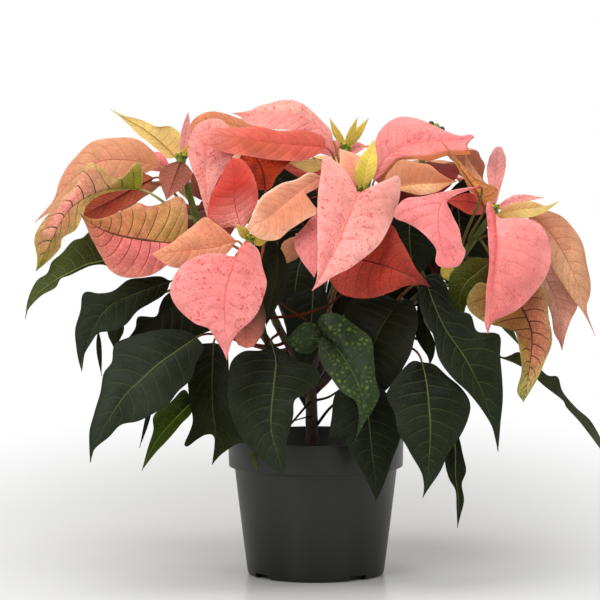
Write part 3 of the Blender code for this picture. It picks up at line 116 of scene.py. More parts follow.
# name: side shown to the front, branch, place on it, midrib, edge a, edge b, material
LEAVES = {
    "bract_01": ("under", "A", 0.93,
        ((-132, -6, 395), (-142, 0, 405), (-158, 8, 418), (-177, 16, 429), (-194, 22, 439)),
        ((-126, 0, 401), (-124, 7, 412), (-136, 12, 423), (-150, 12, 423), (-164, 16, 429),
         (-181, 19, 433)),
        ((-139, -7, 394), (-150, -2, 403), (-164, 5, 413), (-176, 13, 424), (-185, 18, 432)),
        "bract_yellow"),
    "bract_02": ("top", "A", 0.88,
        ((-146, -18, 387), (-174, -20, 393), (-202, -20, 392), (-227, -20, 376), (-247, -22, 353),
         (-263, -25, 335)),
        ((-149, -11, 396), (-158, -7, 405), (-171, -4, 412), (-188, -2, 414), (-207, -5, 410),
         (-222, -7, 399), (-233, -9, 388), (-240, -14, 373), (-245, -21, 356), (-255, -23, 344)),
        ((-157, -23, 382), (-178, -30, 373), (-202, -31, 367), (-221, -29, 356), (-236, -27, 349),
         (-249, -25, 344)),
        "bract_tan"),
    "bract_03": ("top", "A", 0.80,
        ((-163, -52, 367), (-180, -58, 369), (-197, -64, 367), (-214, -70, 360), (-228, -74, 350),
         (-238, -76, 335), (-246, -76, 318), (-259, -75, 293)),
        ((-161, -51, 380), (-166, -51, 393), (-177, -57, 382), (-189, -60, 379), (-207, -61, 392),
         (-216, -63, 389), (-222, -69, 373), (-234, -72, 361), (-244, -73, 349), (-255, -73, 336),
         (-261, -73, 323), (-258, -74, 306)),
        ((-175, -57, 367), (-193, -64, 365), (-205, -69, 360), (-213, -75, 352), (-216, -81, 343),
         (-222, -84, 332), (-234, -81, 324), (-236, -82, 315), (-246, -80, 304)),
        "bract_marbled"),
    "bract_04": ("under", "A", 0.84,
        ((-151, -35, 377), (-169, -38, 368), (-187, -40, 358), (-203, -41, 350), (-217, -42, 344)),
        ((-157, -34, 380), (-166, -33, 382), (-181, -33, 376), (-197, -35, 369), (-210, -36, 360),
         (-216, -39, 352)),
        ((-155, -37, 372), (-161, -42, 362), (-170, -45, 354), (-183, -46, 347), (-196, -47, 340),
         (-208, -47, 337), (-215, -44, 339)),
        "bract_coral"),
    "bract_05": ("top", "B", 0.82,
        ((-128, -84, 320), (-144, -90, 321), (-162, -98, 324), (-180, -105, 328), (-194, -111, 333),
         (-206, -116, 340), (-216, -118, 349)),
        ((-120, -79, 326), (-119, -73, 340), (-122, -65, 358), (-130, -65, 362), (-144, -76, 355),
         (-155, -82, 353), (-164, -83, 357), (-175, -92, 352), (-191, -106, 345), (-205, -114, 344)),
        ((-129, -91, 308), (-139, -99, 299), (-151, -106, 292), (-164, -113, 290), (-178, -117, 291),
         (-189, -119, 297), (-195, -119, 307), (-201, -119, 318), (-207, -119, 329), (-211, -118, 339)),
        "bract_marbled"),
    "bract_06": ("top", "B", 0.90,
        ((-73, -106, 323), (-93, -112, 318), (-111, -119, 316), (-129, -127, 315), (-150, -135, 313)),
        ((-85, -101, 333), (-100, -96, 344), (-110, -102, 339), (-119, -110, 333), (-130, -121, 324),
         (-141, -129, 318)),
        ((-82, -112, 312), (-97, -120, 304), (-115, -127, 300), (-132, -133, 301), (-142, -135, 307)),
        "bract_tan"),
    "bract_07": ("top", "B", 0.92,
        ((-97, -82, 337), (-101, -72, 361), (-103, -62, 388), (-101, -50, 411), (-97, -40, 433)),
        ((-102, -78, 347), (-106, -73, 361), (-110, -67, 375), (-117, -61, 392), (-119, -55, 406),
         (-117, -50, 416), (-110, -44, 428)),
        ((-99, -76, 353), (-94, -72, 370), (-87, -69, 384), (-78, -65, 397), (-73, -61, 406),
         (-78, -52, 420), (-87, -45, 431)),
        "bract_pink"),
    "bract_08": ("top", "B", 0.97,
        ((-68, -94, 332), (-74, -92, 351), (-76, -88, 369), (-77, -80, 385), (-78, -72, 398)),
        ((-79, -93, 335), (-92, -93, 332), (-100, -91, 345), (-98, -89, 360), (-91, -83, 375),
         (-83, -76, 391)),
        ((-64, -96, 338), (-59, -98, 347), (-54, -99, 359), (-54, -97, 371), (-59, -89, 385),
         (-68, -79, 396)),
        "bract_coral"),
    "bract_09": ("top", "D", 0.80,
        ((-49, 20, 414), (-70, 24, 421), (-90, 25, 427), (-108, 22, 428), (-120, 18, 410)),
        ((-59, 30, 428), (-72, 30, 430), (-85, 30, 434), (-98, 31, 437), (-110, 26, 433), (-118, 26, 426),
         (-121, 22, 416)),
        ((-62, 18, 410), (-79, 17, 411), (-96, 15, 414), (-109, 17, 415), (-116, 17, 411)),
        "bract_tan"),
    "bract_10": ("top", "D", 0.95,
        ((16, 2, 410), (-5, -6, 428), (-28, -14, 438), (-51, -20, 438), (-65, -23, 435), (-78, -25, 437)),
        ((14, 5, 419), (4, 2, 431), (-7, 1, 440), (-18, -1, 448), (-30, -5, 449), (-42, -11, 446),
         (-53, -15, 444), (-63, -20, 439)),
        ((9, -5, 408), (-10, -17, 418), (-29, -29, 422), (-50, -35, 424), (-64, -30, 428),
         (-71, -27, 434)),
        "bract_pink"),
    "bract_11": ("top", "D", 0.90,
        ((9, -26, 405), (-15, -40, 408), (-43, -52, 411), (-71, -62, 416), (-96, -68, 419),
         (-114, -70, 418)),
        ((7, -22, 415), (-10, -29, 421), (-34, -40, 422), (-54, -47, 425), (-75, -56, 425),
         (-95, -63, 424), (-107, -67, 421)),
        ((2, -36, 399), (-13, -49, 394), (-29, -57, 394), (-50, -65, 397), (-70, -72, 400),
         (-87, -75, 404), (-102, -74, 411)),
        "bract_coral"),
    "bract_12": ("under", "B", 0.80,
        ((-47, -60, 367), (-49, -54, 382), (-54, -46, 393), (-62, -40, 403)),
        ((-56, -58, 369), (-65, -50, 383), (-71, -42, 396)),
        ((-41, -58, 370), (-36, -53, 380), (-27, -49, 389), (-24, -45, 396), (-39, -42, 403)),
        "bract_coral"),
    "bract_13": ("top", "C", 0.90,
        ((5, -70, 380), (-10, -80, 371), (-29, -94, 357), (-47, -114, 344), (-64, -130, 337)),
        ((-6, -72, 384), (-19, -79, 378), (-33, -86, 374), (-46, -96, 367), (-54, -106, 358),
         (-58, -116, 349), (-61, -124, 342)),
        ((2, -76, 371), (-10, -83, 364), (-4, -88, 358), (2, -94, 349), (-12, -102, 341), (-24, -111, 334),
         (-36, -121, 325), (-50, -127, 326), (-60, -129, 332)),
        "bract_tan"),
    "bract_14": ("top", "B", 0.74,
        ((-66, -132, 323), (-73, -140, 310), (-79, -150, 294), (-83, -160, 278), (-83, -167, 260),
         (-82, -172, 241), (-81, -174, 220)),
        ((-71, -135, 317), (-75, -139, 308), (-86, -140, 314), (-106, -145, 312), (-123, -149, 304),
         (-131, -156, 290), (-132, -159, 278), (-124, -163, 264), (-109, -168, 252), (-98, -170, 249),
         (-90, -172, 237), (-85, -173, 229)),
        ((-60, -131, 323), (-53, -130, 316), (-50, -131, 308), (-48, -134, 298), (-46, -137, 287),
         (-48, -145, 274), (-52, -153, 264), (-60, -160, 254), (-69, -166, 246), (-76, -170, 237),
         (-79, -172, 229)),
        "bract_pink"),
    "bract_15": ("top", "C", 0.80,
        ((39, -84, 365), (34, -89, 354), (27, -96, 338), (20, -109, 321), (12, -123, 307), (5, -137, 294),
         (-4, -150, 281)),
        ((32, -82, 379), (23, -80, 389), (14, -78, 397), (6, -77, 399), (4, -81, 385), (2, -89, 367),
         (1, -100, 347), (1, -116, 325), (1, -132, 305), (0, -143, 290)),
        ((51, -82, 372), (64, -80, 378), (76, -78, 381), (77, -80, 367), (74, -83, 350), (67, -90, 334),
         (57, -100, 319), (44, -111, 308), (30, -123, 299), (16, -134, 293), (5, -143, 286)),
        "bract_pink"),
    "bract_16": ("top", "E", 0.85,
        ((54, -15, 373), (64, -18, 393), (81, -23, 406), (106, -26, 411), (130, -24, 412),
         (148, -20, 414)),
        ((56, -14, 387), (55, -11, 402), (57, -8, 416), (64, -8, 425), (75, -9, 431), (87, -10, 433),
         (99, -14, 431), (112, -18, 424), (124, -20, 419), (135, -21, 416), (145, -19, 417)),
        ((62, -21, 376), (70, -26, 385), (78, -29, 393), (91, -37, 394), (106, -41, 394), (119, -39, 397),
         (130, -38, 398), (144, -35, 400), (141, -29, 406), (144, -23, 411)),
        "bract_pink"),
    "bract_17": ("top", "C", 0.88,
        ((63, -50, 367), (78, -56, 370), (96, -62, 373), (115, -67, 374), (130, -70, 376)),
        ((64, -45, 376), (69, -40, 386), (78, -39, 393), (91, -44, 393), (104, -51, 390), (115, -60, 383),
         (123, -67, 378)),
        ((74, -56, 367), (85, -62, 365), (98, -69, 363), (111, -71, 366), (120, -71, 371)),
        "bract_tan"),
    "bract_18": ("top", "F", 0.81,
        ((149, -76, 371), (132, -84, 367), (117, -92, 360), (112, -100, 345), (114, -109, 322),
         (120, -115, 299)),
        ((134, -81, 370), (119, -87, 367), (100, -89, 364), (84, -92, 362), (74, -95, 353), (72, -96, 344),
         (83, -99, 339), (94, -103, 333), (104, -108, 324), (110, -110, 315), (109, -112, 305),
         (113, -113, 300)),
        ((140, -80, 368), (129, -86, 364), (120, -90, 358), (125, -93, 348), (130, -100, 335),
         (134, -105, 321), (137, -107, 314), (134, -110, 306), (129, -112, 300)),
        "bract_pink"),
    "bract_19": ("top", "C", 0.60,
        ((17, -62, 312), (31, -68, 307), (45, -76, 303), (63, -86, 299), (83, -98, 292),
         (105, -110, 281)),
        ((31, -63, 325), (51, -68, 334), (69, -75, 336), (77, -82, 324), (84, -91, 312), (91, -99, 298),
         (99, -105, 288)),
        ((10, -67, 299), (12, -73, 285), (22, -80, 273), (37, -87, 269), (53, -93, 270), (68, -99, 275),
         (81, -102, 281), (95, -106, 283)),
        "bract_coral"),
    "bract_20": ("under", "F", 0.86,
        ((156, -41, 352), (151, -42, 362), (143, -42, 374), (134, -42, 387), (126, -41, 399),
         (117, -40, 411)),
        ((167, -36, 358), (169, -34, 367), (158, -37, 372), (147, -39, 378), (139, -40, 387),
         (131, -40, 396), (124, -40, 404)),
        ((151, -43, 354), (148, -43, 361), (142, -43, 368), (137, -43, 378), (130, -42, 390),
         (123, -41, 402)),
        "bract_yellow"),
    "bract_21": ("top", "F", 0.94,
        ((168, -44, 342), (179, -47, 346), (194, -50, 349), (211, -51, 351), (226, -49, 356)),
        ((173, -42, 348), (183, -43, 353), (196, -45, 356), (207, -47, 354), (216, -49, 351)),
        ((177, -51, 339), (189, -55, 340), (201, -56, 342), (212, -55, 346), (218, -53, 350)),
        "bract_yellow"),
    "bract_22": ("top", "F", 0.92,
        ((166, -58, 345), (166, -74, 333), (166, -90, 319), (163, -104, 301), (161, -114, 279),
         (159, -119, 259), (157, -120, 239)),
        ((161, -53, 357), (158, -59, 350), (158, -72, 336), (159, -91, 317), (158, -105, 296),
         (156, -111, 278), (155, -114, 264), (154, -116, 250)),
        ((173, -62, 340), (182, -62, 342), (196, -64, 340), (208, -68, 334), (215, -74, 323),
         (217, -78, 310), (213, -88, 293), (204, -97, 278), (191, -105, 265), (176, -113, 256),
         (162, -118, 250)),
        "bract_pink"),
    "bract_23": ("top", "F", 0.90,
        ((198, -40, 344), (216, -46, 329), (230, -52, 308), (241, -55, 284), (248, -53, 263),
         (254, -51, 246), (260, -50, 231)),
        ((207, -36, 347), (220, -36, 345), (233, -35, 339), (243, -38, 326), (251, -42, 306),
         (255, -46, 286), (255, -48, 270), (252, -51, 254)),
        ((198, -50, 324), (208, -56, 311), (217, -58, 299), (227, -60, 283), (239, -57, 265),
         (249, -53, 252)),
        "bract_tan"),
    "bract_24": ("top", "F", 0.80,
        ((204, -30, 298), (217, -36, 280), (224, -40, 260), (228, -41, 239), (230, -40, 216)),
        ((215, -31, 302), (225, -33, 293), (235, -37, 276), (244, -38, 260), (238, -40, 244),
         (233, -40, 230)),
        ((204, -31, 285), (211, -35, 272), (219, -38, 252), (222, -39, 234), (227, -40, 224)),
        "bract_coral"),
    "bract_25": ("top", "F", 0.90,
        ((176, -70, 281), (189, -76, 262), (199, -80, 239), (199, -80, 218), (196, -80, 195),
         (192, -80, 172)),
        ((160, -71, 280), (149, -72, 281), (140, -73, 269), (141, -74, 257), (154, -77, 247),
         (168, -79, 244), (180, -79, 245), (186, -80, 230), (189, -80, 216), (190, -80, 200),
         (186, -80, 182)),
        ((193, -68, 285), (207, -69, 279), (214, -72, 266), (216, -75, 247), (218, -75, 225),
         (211, -77, 207), (202, -78, 188)),
        "bract_marbled"),
    "leaf_01": ("under", "A", 0.60,
        ((-188, -20, 302), (-202, -22, 298), (-216, -24, 295), (-230, -25, 288), (-245, -25, 280),
         (-259, -24, 269), (-268, -22, 258), (-273, -20, 244)),
        ((-195, -17, 314), (-210, -15, 326), (-219, -17, 320), (-228, -18, 317), (-238, -20, 306),
         (-248, -20, 297), (-252, -22, 287), (-261, -21, 281), (-267, -21, 271), (-271, -21, 259)),
        ((-191, -24, 293), (-200, -24, 295), (-211, -24, 294), (-221, -25, 290), (-231, -26, 285),
         (-239, -26, 282), (-244, -27, 274), (-256, -25, 267), (-265, -23, 259), (-271, -21, 251)),
        "leaf_green"),
    "leaf_02": ("top", "A", 0.64,
        ((-135, -68, 283), (-154, -77, 277), (-172, -85, 271), (-186, -92, 265), (-197, -97, 255),
         (-205, -100, 241), (-212, -100, 224), (-216, -98, 202)),
        ((-145, -71, 288), (-161, -77, 287), (-174, -81, 285), (-187, -88, 276), (-200, -91, 274),
         (-214, -94, 274), (-217, -97, 259), (-222, -98, 242), (-221, -99, 226), (-219, -98, 212)),
        ((-140, -77, 272), (-153, -85, 264), (-165, -93, 257), (-175, -102, 246), (-188, -105, 240),
         (-200, -102, 238), (-207, -101, 229), (-216, -100, 213)),
        "leaf_dark"),
    "leaf_03": ("top", "B", 0.30,
        ((-110, -100, 234), (-127, -110, 223), (-145, -120, 211), (-161, -130, 197), (-175, -138, 184),
         (-190, -145, 162), (-200, -148, 144), (-206, -150, 124)),
        ((-120, -100, 240), (-139, -103, 241), (-157, -107, 239), (-173, -110, 235), (-185, -115, 228),
         (-187, -123, 213), (-195, -128, 203), (-198, -135, 184), (-203, -141, 166), (-207, -144, 152),
         (-207, -147, 137)),
        ((-103, -105, 224), (-110, -112, 212), (-115, -120, 197), (-126, -128, 187), (-136, -136, 175),
         (-150, -142, 167), (-163, -145, 161), (-178, -147, 158), (-189, -148, 147), (-202, -149, 136)),
        "leaf_dark"),
    "leaf_04": ("under", "A", 0.20,
        ((-115, -76, 171), (-124, -82, 163), (-137, -88, 150), (-147, -92, 138), (-155, -95, 124),
         (-161, -96, 110)),
        ((-122, -77, 183), (-135, -82, 172), (-150, -87, 160), (-151, -91, 145), (-156, -94, 129)),
        ((-116, -83, 161), (-126, -88, 151), (-135, -92, 140), (-146, -95, 129), (-155, -96, 118)),
        "leaf_green"),
    "leaf_05": ("under", "B", 0.25,
        ((-95, -70, 226), (-96, -84, 200), (-96, -91, 184), (-95, -98, 166), (-93, -101, 143),
         (-96, -100, 116)),
        ((-109, -71, 224), (-118, -75, 213), (-119, -83, 193), (-117, -89, 173), (-114, -94, 157),
         (-117, -95, 146), (-122, -95, 132), (-109, -98, 141), (-96, -100, 149), (-93, -100, 134),
         (-95, -100, 122)),
        ((-83, -75, 222), (-81, -83, 207), (-81, -91, 189), (-79, -99, 168), (-73, -103, 150),
         (-65, -105, 139), (-76, -104, 134), (-88, -101, 125)),
        "leaf_green"),
    "leaf_06": ("top", "B", 0.40,
        ((-41, -96, 227), (-37, -108, 212), (-39, -122, 192), (-41, -135, 172), (-41, -146, 153),
         (-36, -153, 134), (-30, -155, 113)),
        ((-50, -98, 222), (-67, -97, 220), (-79, -100, 209), (-81, -116, 191), (-80, -126, 173),
         (-73, -137, 152), (-61, -144, 137), (-50, -150, 127), (-39, -153, 118)),
        ((-30, -100, 221), (-16, -105, 212), (-1, -106, 206), (3, -112, 195), (-8, -121, 185),
         (-20, -130, 178), (-21, -138, 166), (-23, -143, 156), (-27, -148, 144), (-28, -152, 131),
         (-28, -153, 121)),
        "leaf_dark"),
    "leaf_07": ("top", "C", 0.60,
        ((11, -80, 233), (22, -90, 219), (33, -100, 202), (41, -110, 184), (42, -117, 167),
         (36, -120, 141)),
        ((2, -80, 243), (5, -80, 252), (19, -82, 254), (36, -85, 244), (50, -91, 232), (53, -99, 215),
         (55, -107, 195), (58, -110, 183), (53, -115, 170), (44, -118, 156)),
        ((4, -83, 231), (2, -89, 221), (5, -96, 209), (14, -104, 196), (24, -111, 184), (36, -115, 176),
         (39, -118, 163), (38, -119, 150)),
        "leaf_mottled"),
    "leaf_08": ("top", "F", 0.49,
        ((76, -66, 265), (67, -72, 251), (57, -76, 235), (52, -78, 218), (52, -80, 200), (59, -84, 179)),
        ((59, -58, 270), (37, -52, 266), (26, -53, 253), (29, -61, 233), (37, -70, 214), (47, -77, 193)),
        ((89, -78, 265), (94, -92, 247), (89, -102, 228), (83, -105, 211), (73, -96, 194),
         (64, -88, 183)),
        "leaf_dark"),
    "leaf_09": ("top", "F", 0.31,
        ((97, -112, 212), (101, -118, 194), (103, -130, 174), (104, -140, 153), (103, -146, 130),
         (101, -147, 109), (97, -145, 91)),
        ((88, -111, 213), (79, -111, 205), (68, -115, 190), (64, -118, 181), (72, -128, 166),
         (75, -135, 150), (84, -141, 134), (95, -145, 116), (98, -146, 102)),
        ((108, -112, 210), (119, -113, 201), (132, -118, 189), (141, -123, 175), (139, -129, 161),
         (130, -136, 145), (121, -142, 132), (114, -144, 117), (104, -145, 102)),
        "leaf_dark"),
    "leaf_10": ("under", "F", 0.30,
        ((126, -78, 147), (129, -81, 127), (129, -85, 104), (132, -86, 81), (131, -85, 55)),
        ((121, -79, 136), (119, -82, 118), (123, -84, 101), (129, -85, 90), (130, -86, 74)),
        ((132, -79, 140), (136, -81, 123), (139, -83, 108), (135, -85, 96), (137, -86, 81),
         (134, -85, 67)),
        "leaf_dark"),
    "leaf_11": ("top", "F", 0.60,
        ((100, -80, 289), (108, -92, 265), (119, -103, 241), (134, -112, 220), (146, -119, 198),
         (156, -120, 174), (167, -115, 130)),
        ((95, -88, 275), (97, -97, 256), (107, -105, 237), (112, -114, 216), (124, -120, 199),
         (139, -122, 185), (153, -120, 167), (163, -117, 149)),
        ((112, -81, 291), (121, -87, 278), (128, -95, 260), (142, -98, 255), (148, -105, 239),
         (168, -107, 237), (169, -113, 218), (170, -116, 198), (171, -117, 176), (169, -116, 154)),
        "leaf_dark"),
    "leaf_12": ("top", "F", 0.42,
        ((162, -48, 299), (151, -52, 290), (139, -56, 280), (133, -58, 265), (137, -58, 249)),
        ((151, -48, 304), (136, -51, 299), (125, -53, 288), (123, -56, 270), (127, -57, 257)),
        ((163, -50, 288), (156, -53, 276), (147, -56, 267), (140, -57, 260), (138, -58, 254)),
        "leaf_green"),
    "leaf_13": ("top", "C", 0.30,
        ((44, -90, 195), (46, -96, 175), (49, -102, 153), (51, -107, 130), (54, -109, 107),
         (55, -110, 84)),
        ((31, -90, 191), (17, -91, 179), (14, -95, 159), (13, -98, 140), (23, -100, 147), (27, -103, 136),
         (38, -106, 118), (49, -109, 97)),
        ((57, -91, 190), (70, -94, 173), (77, -98, 155), (76, -102, 137), (69, -106, 118),
         (61, -109, 96)),
        "leaf_dark"),
    "leaf_14": ("top", "A", 0.40,
        ((-78, -52, 264), (-108, -58, 264), (-136, -63, 257), (-156, -67, 243), (-176, -70, 228)),
        ((-88, -52, 275), (-113, -55, 278), (-132, -58, 274), (-141, -60, 268), (-145, -62, 260),
         (-149, -65, 250), (-165, -65, 250), (-168, -68, 239)),
        ((-85, -59, 244), (-108, -66, 233), (-131, -70, 227), (-154, -71, 226)),
        "leaf_dark"),
    "leaf_15": ("top", "B", 0.60,
        ((-36, -88, 319), (-36, -94, 300), (-38, -95, 280), (-46, -90, 244)),
        ((-48, -91, 312), (-51, -95, 290), (-52, -92, 264)),
        ((-29, -92, 308), (-26, -94, 291), (-30, -95, 275), (-37, -92, 260)),
        "leaf_dark"),
    "leaf_17": ("top", "F", 0.34,
        ((95, -62, 276), (96, -68, 260), (100, -74, 238), (103, -78, 222), (105, -80, 206)),
        ((94, -66, 265), (93, -71, 249), (92, -75, 233), (97, -77, 223), (103, -79, 214)),
        ((97, -67, 263), (100, -72, 246), (106, -75, 236), (110, -77, 226), (109, -79, 215)),
        "leaf_green"),
    "leaf_16": ("top", "F", 0.40,
        ((175, -40, 209), (194, -40, 201), (213, -41, 188), (230, -44, 173), (245, -49, 157),
         (259, -54, 141), (274, -60, 113)),
        ((181, -38, 211), (190, -36, 214), (202, -37, 207), (216, -39, 193), (226, -38, 191),
         (230, -42, 178), (243, -47, 163), (256, -50, 151), (267, -55, 132)),
        ((183, -40, 205), (198, -41, 197), (213, -43, 183), (230, -45, 170), (234, -48, 163),
         (246, -52, 150), (257, -56, 136)),
        "leaf_dark"),
}
# flower heads: middle, cups around it, and small young bracts sunk in it
HEADS = {
    "flower_head_left": ((-126, -20, 394), ((0, -5, 4), (5, -2, 4), (-5, 0, 4)), (
        ("top", ((-125, -21, 395), (-121, -21, 403), (-118, -20, 410)), (-4, 0, 0), (4, 0, 0), OVATE),
        ("top", ((-125, -19, 395), (-122, -10, 415), (-120, -5, 437)), (-5, 0, 0), (4, 0, 0), LATE),
        ("under", ((-126, -21, 393), (-133, -42, 374), (-139, -58, 358)),
         (-15, 0, 3), (15, 0, -2), OVATE))),
    "flower_head_front": ((-60, -110, 325), ((0, -5, 2), (6, -3, 0), (-5, -4, 3), (4, -2, 5)), (
        ("top", ((-61, -111, 326), (-68, -115, 333), (-74, -115, 339)), (-3, 0, -4), (3, 0, 4), OVATE),
        ("top", ((-59, -111, 325), (-52, -118, 323), (-45, -124, 324)), (0, 0, 4), (0, 0, -4), OVATE),
        ("top", ((-63, -111, 323), (-70, -118, 298), (-66, -132, 256), (-64, -140, 228)),
         (-20, 4, 6), (20, 4, 2), SPOON))),
    "flower_head_middle": ((42, -58, 366), ((-4, -5, 3), (4, -5, 2), (0, -3, 5)), (
        ("top", ((42, -58, 367), (47, -55, 391), (54, -45, 414)), (-10, 0, 0), (10, -2, 0), OVATE),
        ("top", ((41, -57, 367), (33, -38, 391), (22, -25, 404)), (-14, 0, -4), (14, 0, 6), OVATE),
        ("top", ((39, -59, 366), (13, -82, 340), (-4, -97, 321), (-2, -110, 290)),
         (-19, 2, 0), (14, 0, 0), LATE))),
    "flower_head_top": ((28, 10, 402), ((-4, -4, 4), (4, -4, 3), (0, 0, 5)), (
        ("top", ((27, 9, 403), (19, 8, 418), (13, 6, 431)), (-4, 0, 0), (4, 0, 1), OVATE),
        ("top", ((29, 9, 403), (34, 6, 419), (39, 4, 432)), (-4, 0, 0), (4, 0, 0), OVATE),
        ("top", ((29, 11, 403), (41, 15, 419), (50, 18, 431)), (-4, 0, 2), (4, 0, -2), OVATE))),
    "flower_head_right": ((166, -32, 347), ((-3, -5, 3), (4, -4, 3), (0, -2, 5)), (
        ("top", ((166, -31, 348), (169, 0, 377), (172, 6, 404)), (-9, 0, 0), (9, 0, 0), SPOON),
        ("top", ((165, -31, 348), (149, 4, 374), (141, 12, 396)), (-11, 0, 0), (11, 0, 0), OVATE),
        ("top", ((167, -31, 348), (192, -12, 356), (214, -6, 357)), (0, 4, 5), (0, -4, -5), OVATE),
        ("under", ((165, -30, 348), (143, -34, 355), (121, -36, 356)), (0, 3, 8), (0, -2, -12), LANCE))),
}
# sprays: branch, place on it, and the leaves that grow there from one foot
SPRAYS = {
    "spray_back_left": ("G", 0.92, (
        ("up", ((-95, 118, 345), (-135, 150, 325), (-180, 180, 290)),
         (-20, -20, 4), (20, 20, -4), OVATE, "bract_pink"),
        ("up", ((-82, 122, 370), (-88, 165, 376), (-98, 215, 343)),
         (-26, 0, 0), (26, 0, 2), OVATE, "bract_pink"),
        ("up", ((-66, 120, 378), (-55, 160, 392), (-45, 205, 375)),
         (-22, -6, 0), (22, 6, 0), OVATE, "bract_tan"),
        ("up", ((-84, 126, 350), (-92, 168, 335), (-95, 196, 290)),
         (-24, -4, 0), (24, 4, 0), OVATE, "bract_coral"))),
    "spray_back_right": ("H", 0.92, (
        ("up", ((55, 140, 372), (62, 184, 380), (72, 228, 350)),
         (-25, 0, 0), (25, 0, 2), OVATE, "bract_pink"),
        ("up", ((74, 128, 366), (114, 154, 383), (152, 188, 363)),
         (-12, 15, 0), (15, -18, 0), OVATE, "bract_tan"),
        ("up", ((38, 134, 374), (14, 166, 387), (-12, 198, 368)),
         (14, 16, 0), (-14, -16, 0), OVATE, "bract_coral"),
        ("up", ((42, 142, 350), (32, 188, 332), (26, 216, 288)),
         (-24, -3, 0), (24, 3, 0), OVATE, "bract_pink"),
        ("up", ((72, 134, 345), (104, 168, 330), (128, 192, 285)),
         (-18, 14, 0), (18, -14, 0), OVATE, "bract_coral"))),
    "spray_side_right": ("E", 0.90, (
        ("up", ((116, 76, 400), (140, 110, 397), (163, 150, 355)),
         (-18, 14, 0), (18, -14, -4), OVATE, "bract_coral"),
        ("up", ((118, 72, 378), (150, 90, 364), (184, 108, 322)),
         (-10, 18, 0), (10, -18, -4), OVATE, "bract_pink"),
        ("top", ((108, 40, 388), (104, 16, 376), (100, -14, 346)),
         (-32, 4, 4), (32, 4, 4), OVATE, "bract_coral"))),
    "spray_side_left": ("A", 0.86, (
        ("up", ((-136, 4, 380), (-175, 40, 394), (-215, 70, 360)),
         (14, 16, 4), (-14, -16, -6), OVATE, "bract_pink"),
        ("up", ((-132, 12, 366), (-160, 58, 366), (-190, 98, 332)),
         (16, 14, 0), (-16, -14, 0), OVATE, "bract_tan"))),
    "foliage_back_left": ("G", 0.42, (
        ("up", ((-66, 92, 262), (-110, 132, 266), (-150, 160, 246)),
         (-18, -22, 4), (18, 24, -4), OVATE, "leaf_dark"),
        ("up", ((-48, 98, 244), (-72, 150, 240), (-92, 192, 202)),
         (-26, -8, 0), (26, 8, 0), OVATE, "leaf_dark"),
        ("up", ((-70, 40, 268), (-115, 56, 272), (-150, 84, 258)),
         (-8, 22, 0), (8, -22, 0), OVATE, "leaf_green"))),
    "foliage_back_middle": ("H", 0.36, (
        ("up", ((-10, 88, 264), (-20, 145, 284), (-32, 210, 264)),
         (-30, 0, 0), (30, 0, 0), OVATE, "leaf_dark"),
        ("up", ((26, 92, 238), (34, 145, 232), (40, 192, 194)),
         (-27, 0, 0), (27, 0, 0), OVATE, "leaf_dark"),
        ("top", ((2, 44, 236), (-8, 36, 200), (-8, 30, 150)),
         (-24, 2, 0), (24, 2, 0), OVATE, "leaf_dark"))),
    "foliage_back_right": ("H", 0.48, (
        ("up", ((62, 95, 262), (105, 130, 268), (142, 165, 256)),
         (-18, 24, 0), (18, -22, 0), OVATE, "leaf_dark"),
        ("up", ((66, 78, 240), (108, 108, 232), (136, 140, 198)),
         (-18, 22, 0), (18, -22, 0), OVATE, "leaf_dark"))),
    "foliage_right": ("F", 0.58, (
        ("up", ((118, 14, 284), (152, 58, 288), (190, 98, 266)),
         (-18, 18, 0), (18, -18, 0), OVATE, "leaf_dark"),
        ("up", ((126, 4, 262), (164, 26, 252), (195, 48, 212)),
         (-10, 20, 0), (10, -20, 0), OVATE, "leaf_dark"))),
    "foliage_inner_left": ("D", 0.50, (
        ("top", ((-14, 2, 334), (-30, -14, 366), (-46, -20, 396)),
         (-30, 4, 0), (30, -4, 0), OVATE, "leaf_dark"),
        ("top", ((-8, -6, 318), (-18, -32, 284), (-22, -40, 238)),
         (-30, 4, 0), (30, 4, 0), OVATE, "leaf_dark"),
        ("top", ((-12, -2, 328), (-40, -26, 322), (-66, -38, 300)),
         (4, 4, 22), (-4, 4, -22), OVATE, "leaf_dark"),
        ("top", ((-2, -22, 290), (-4, -48, 250), (-10, -54, 186)),
         (-26, 4, 0), (15, 2, 0), OVATE, "leaf_dark"))),
    "foliage_inner_right": ("F", 0.66, (
        ("top", ((88, -14, 350), (88, -22, 312), (94, -26, 277)),
         (-31, 4, 0), (31, 4, 0), OVATE, "leaf_dark"),
        ("top", ((134, 4, 348), (138, 2, 302), (148, -4, 250)),
         (-34, 4, 0), (33, 4, 0), OVATE, "leaf_dark"))),
}

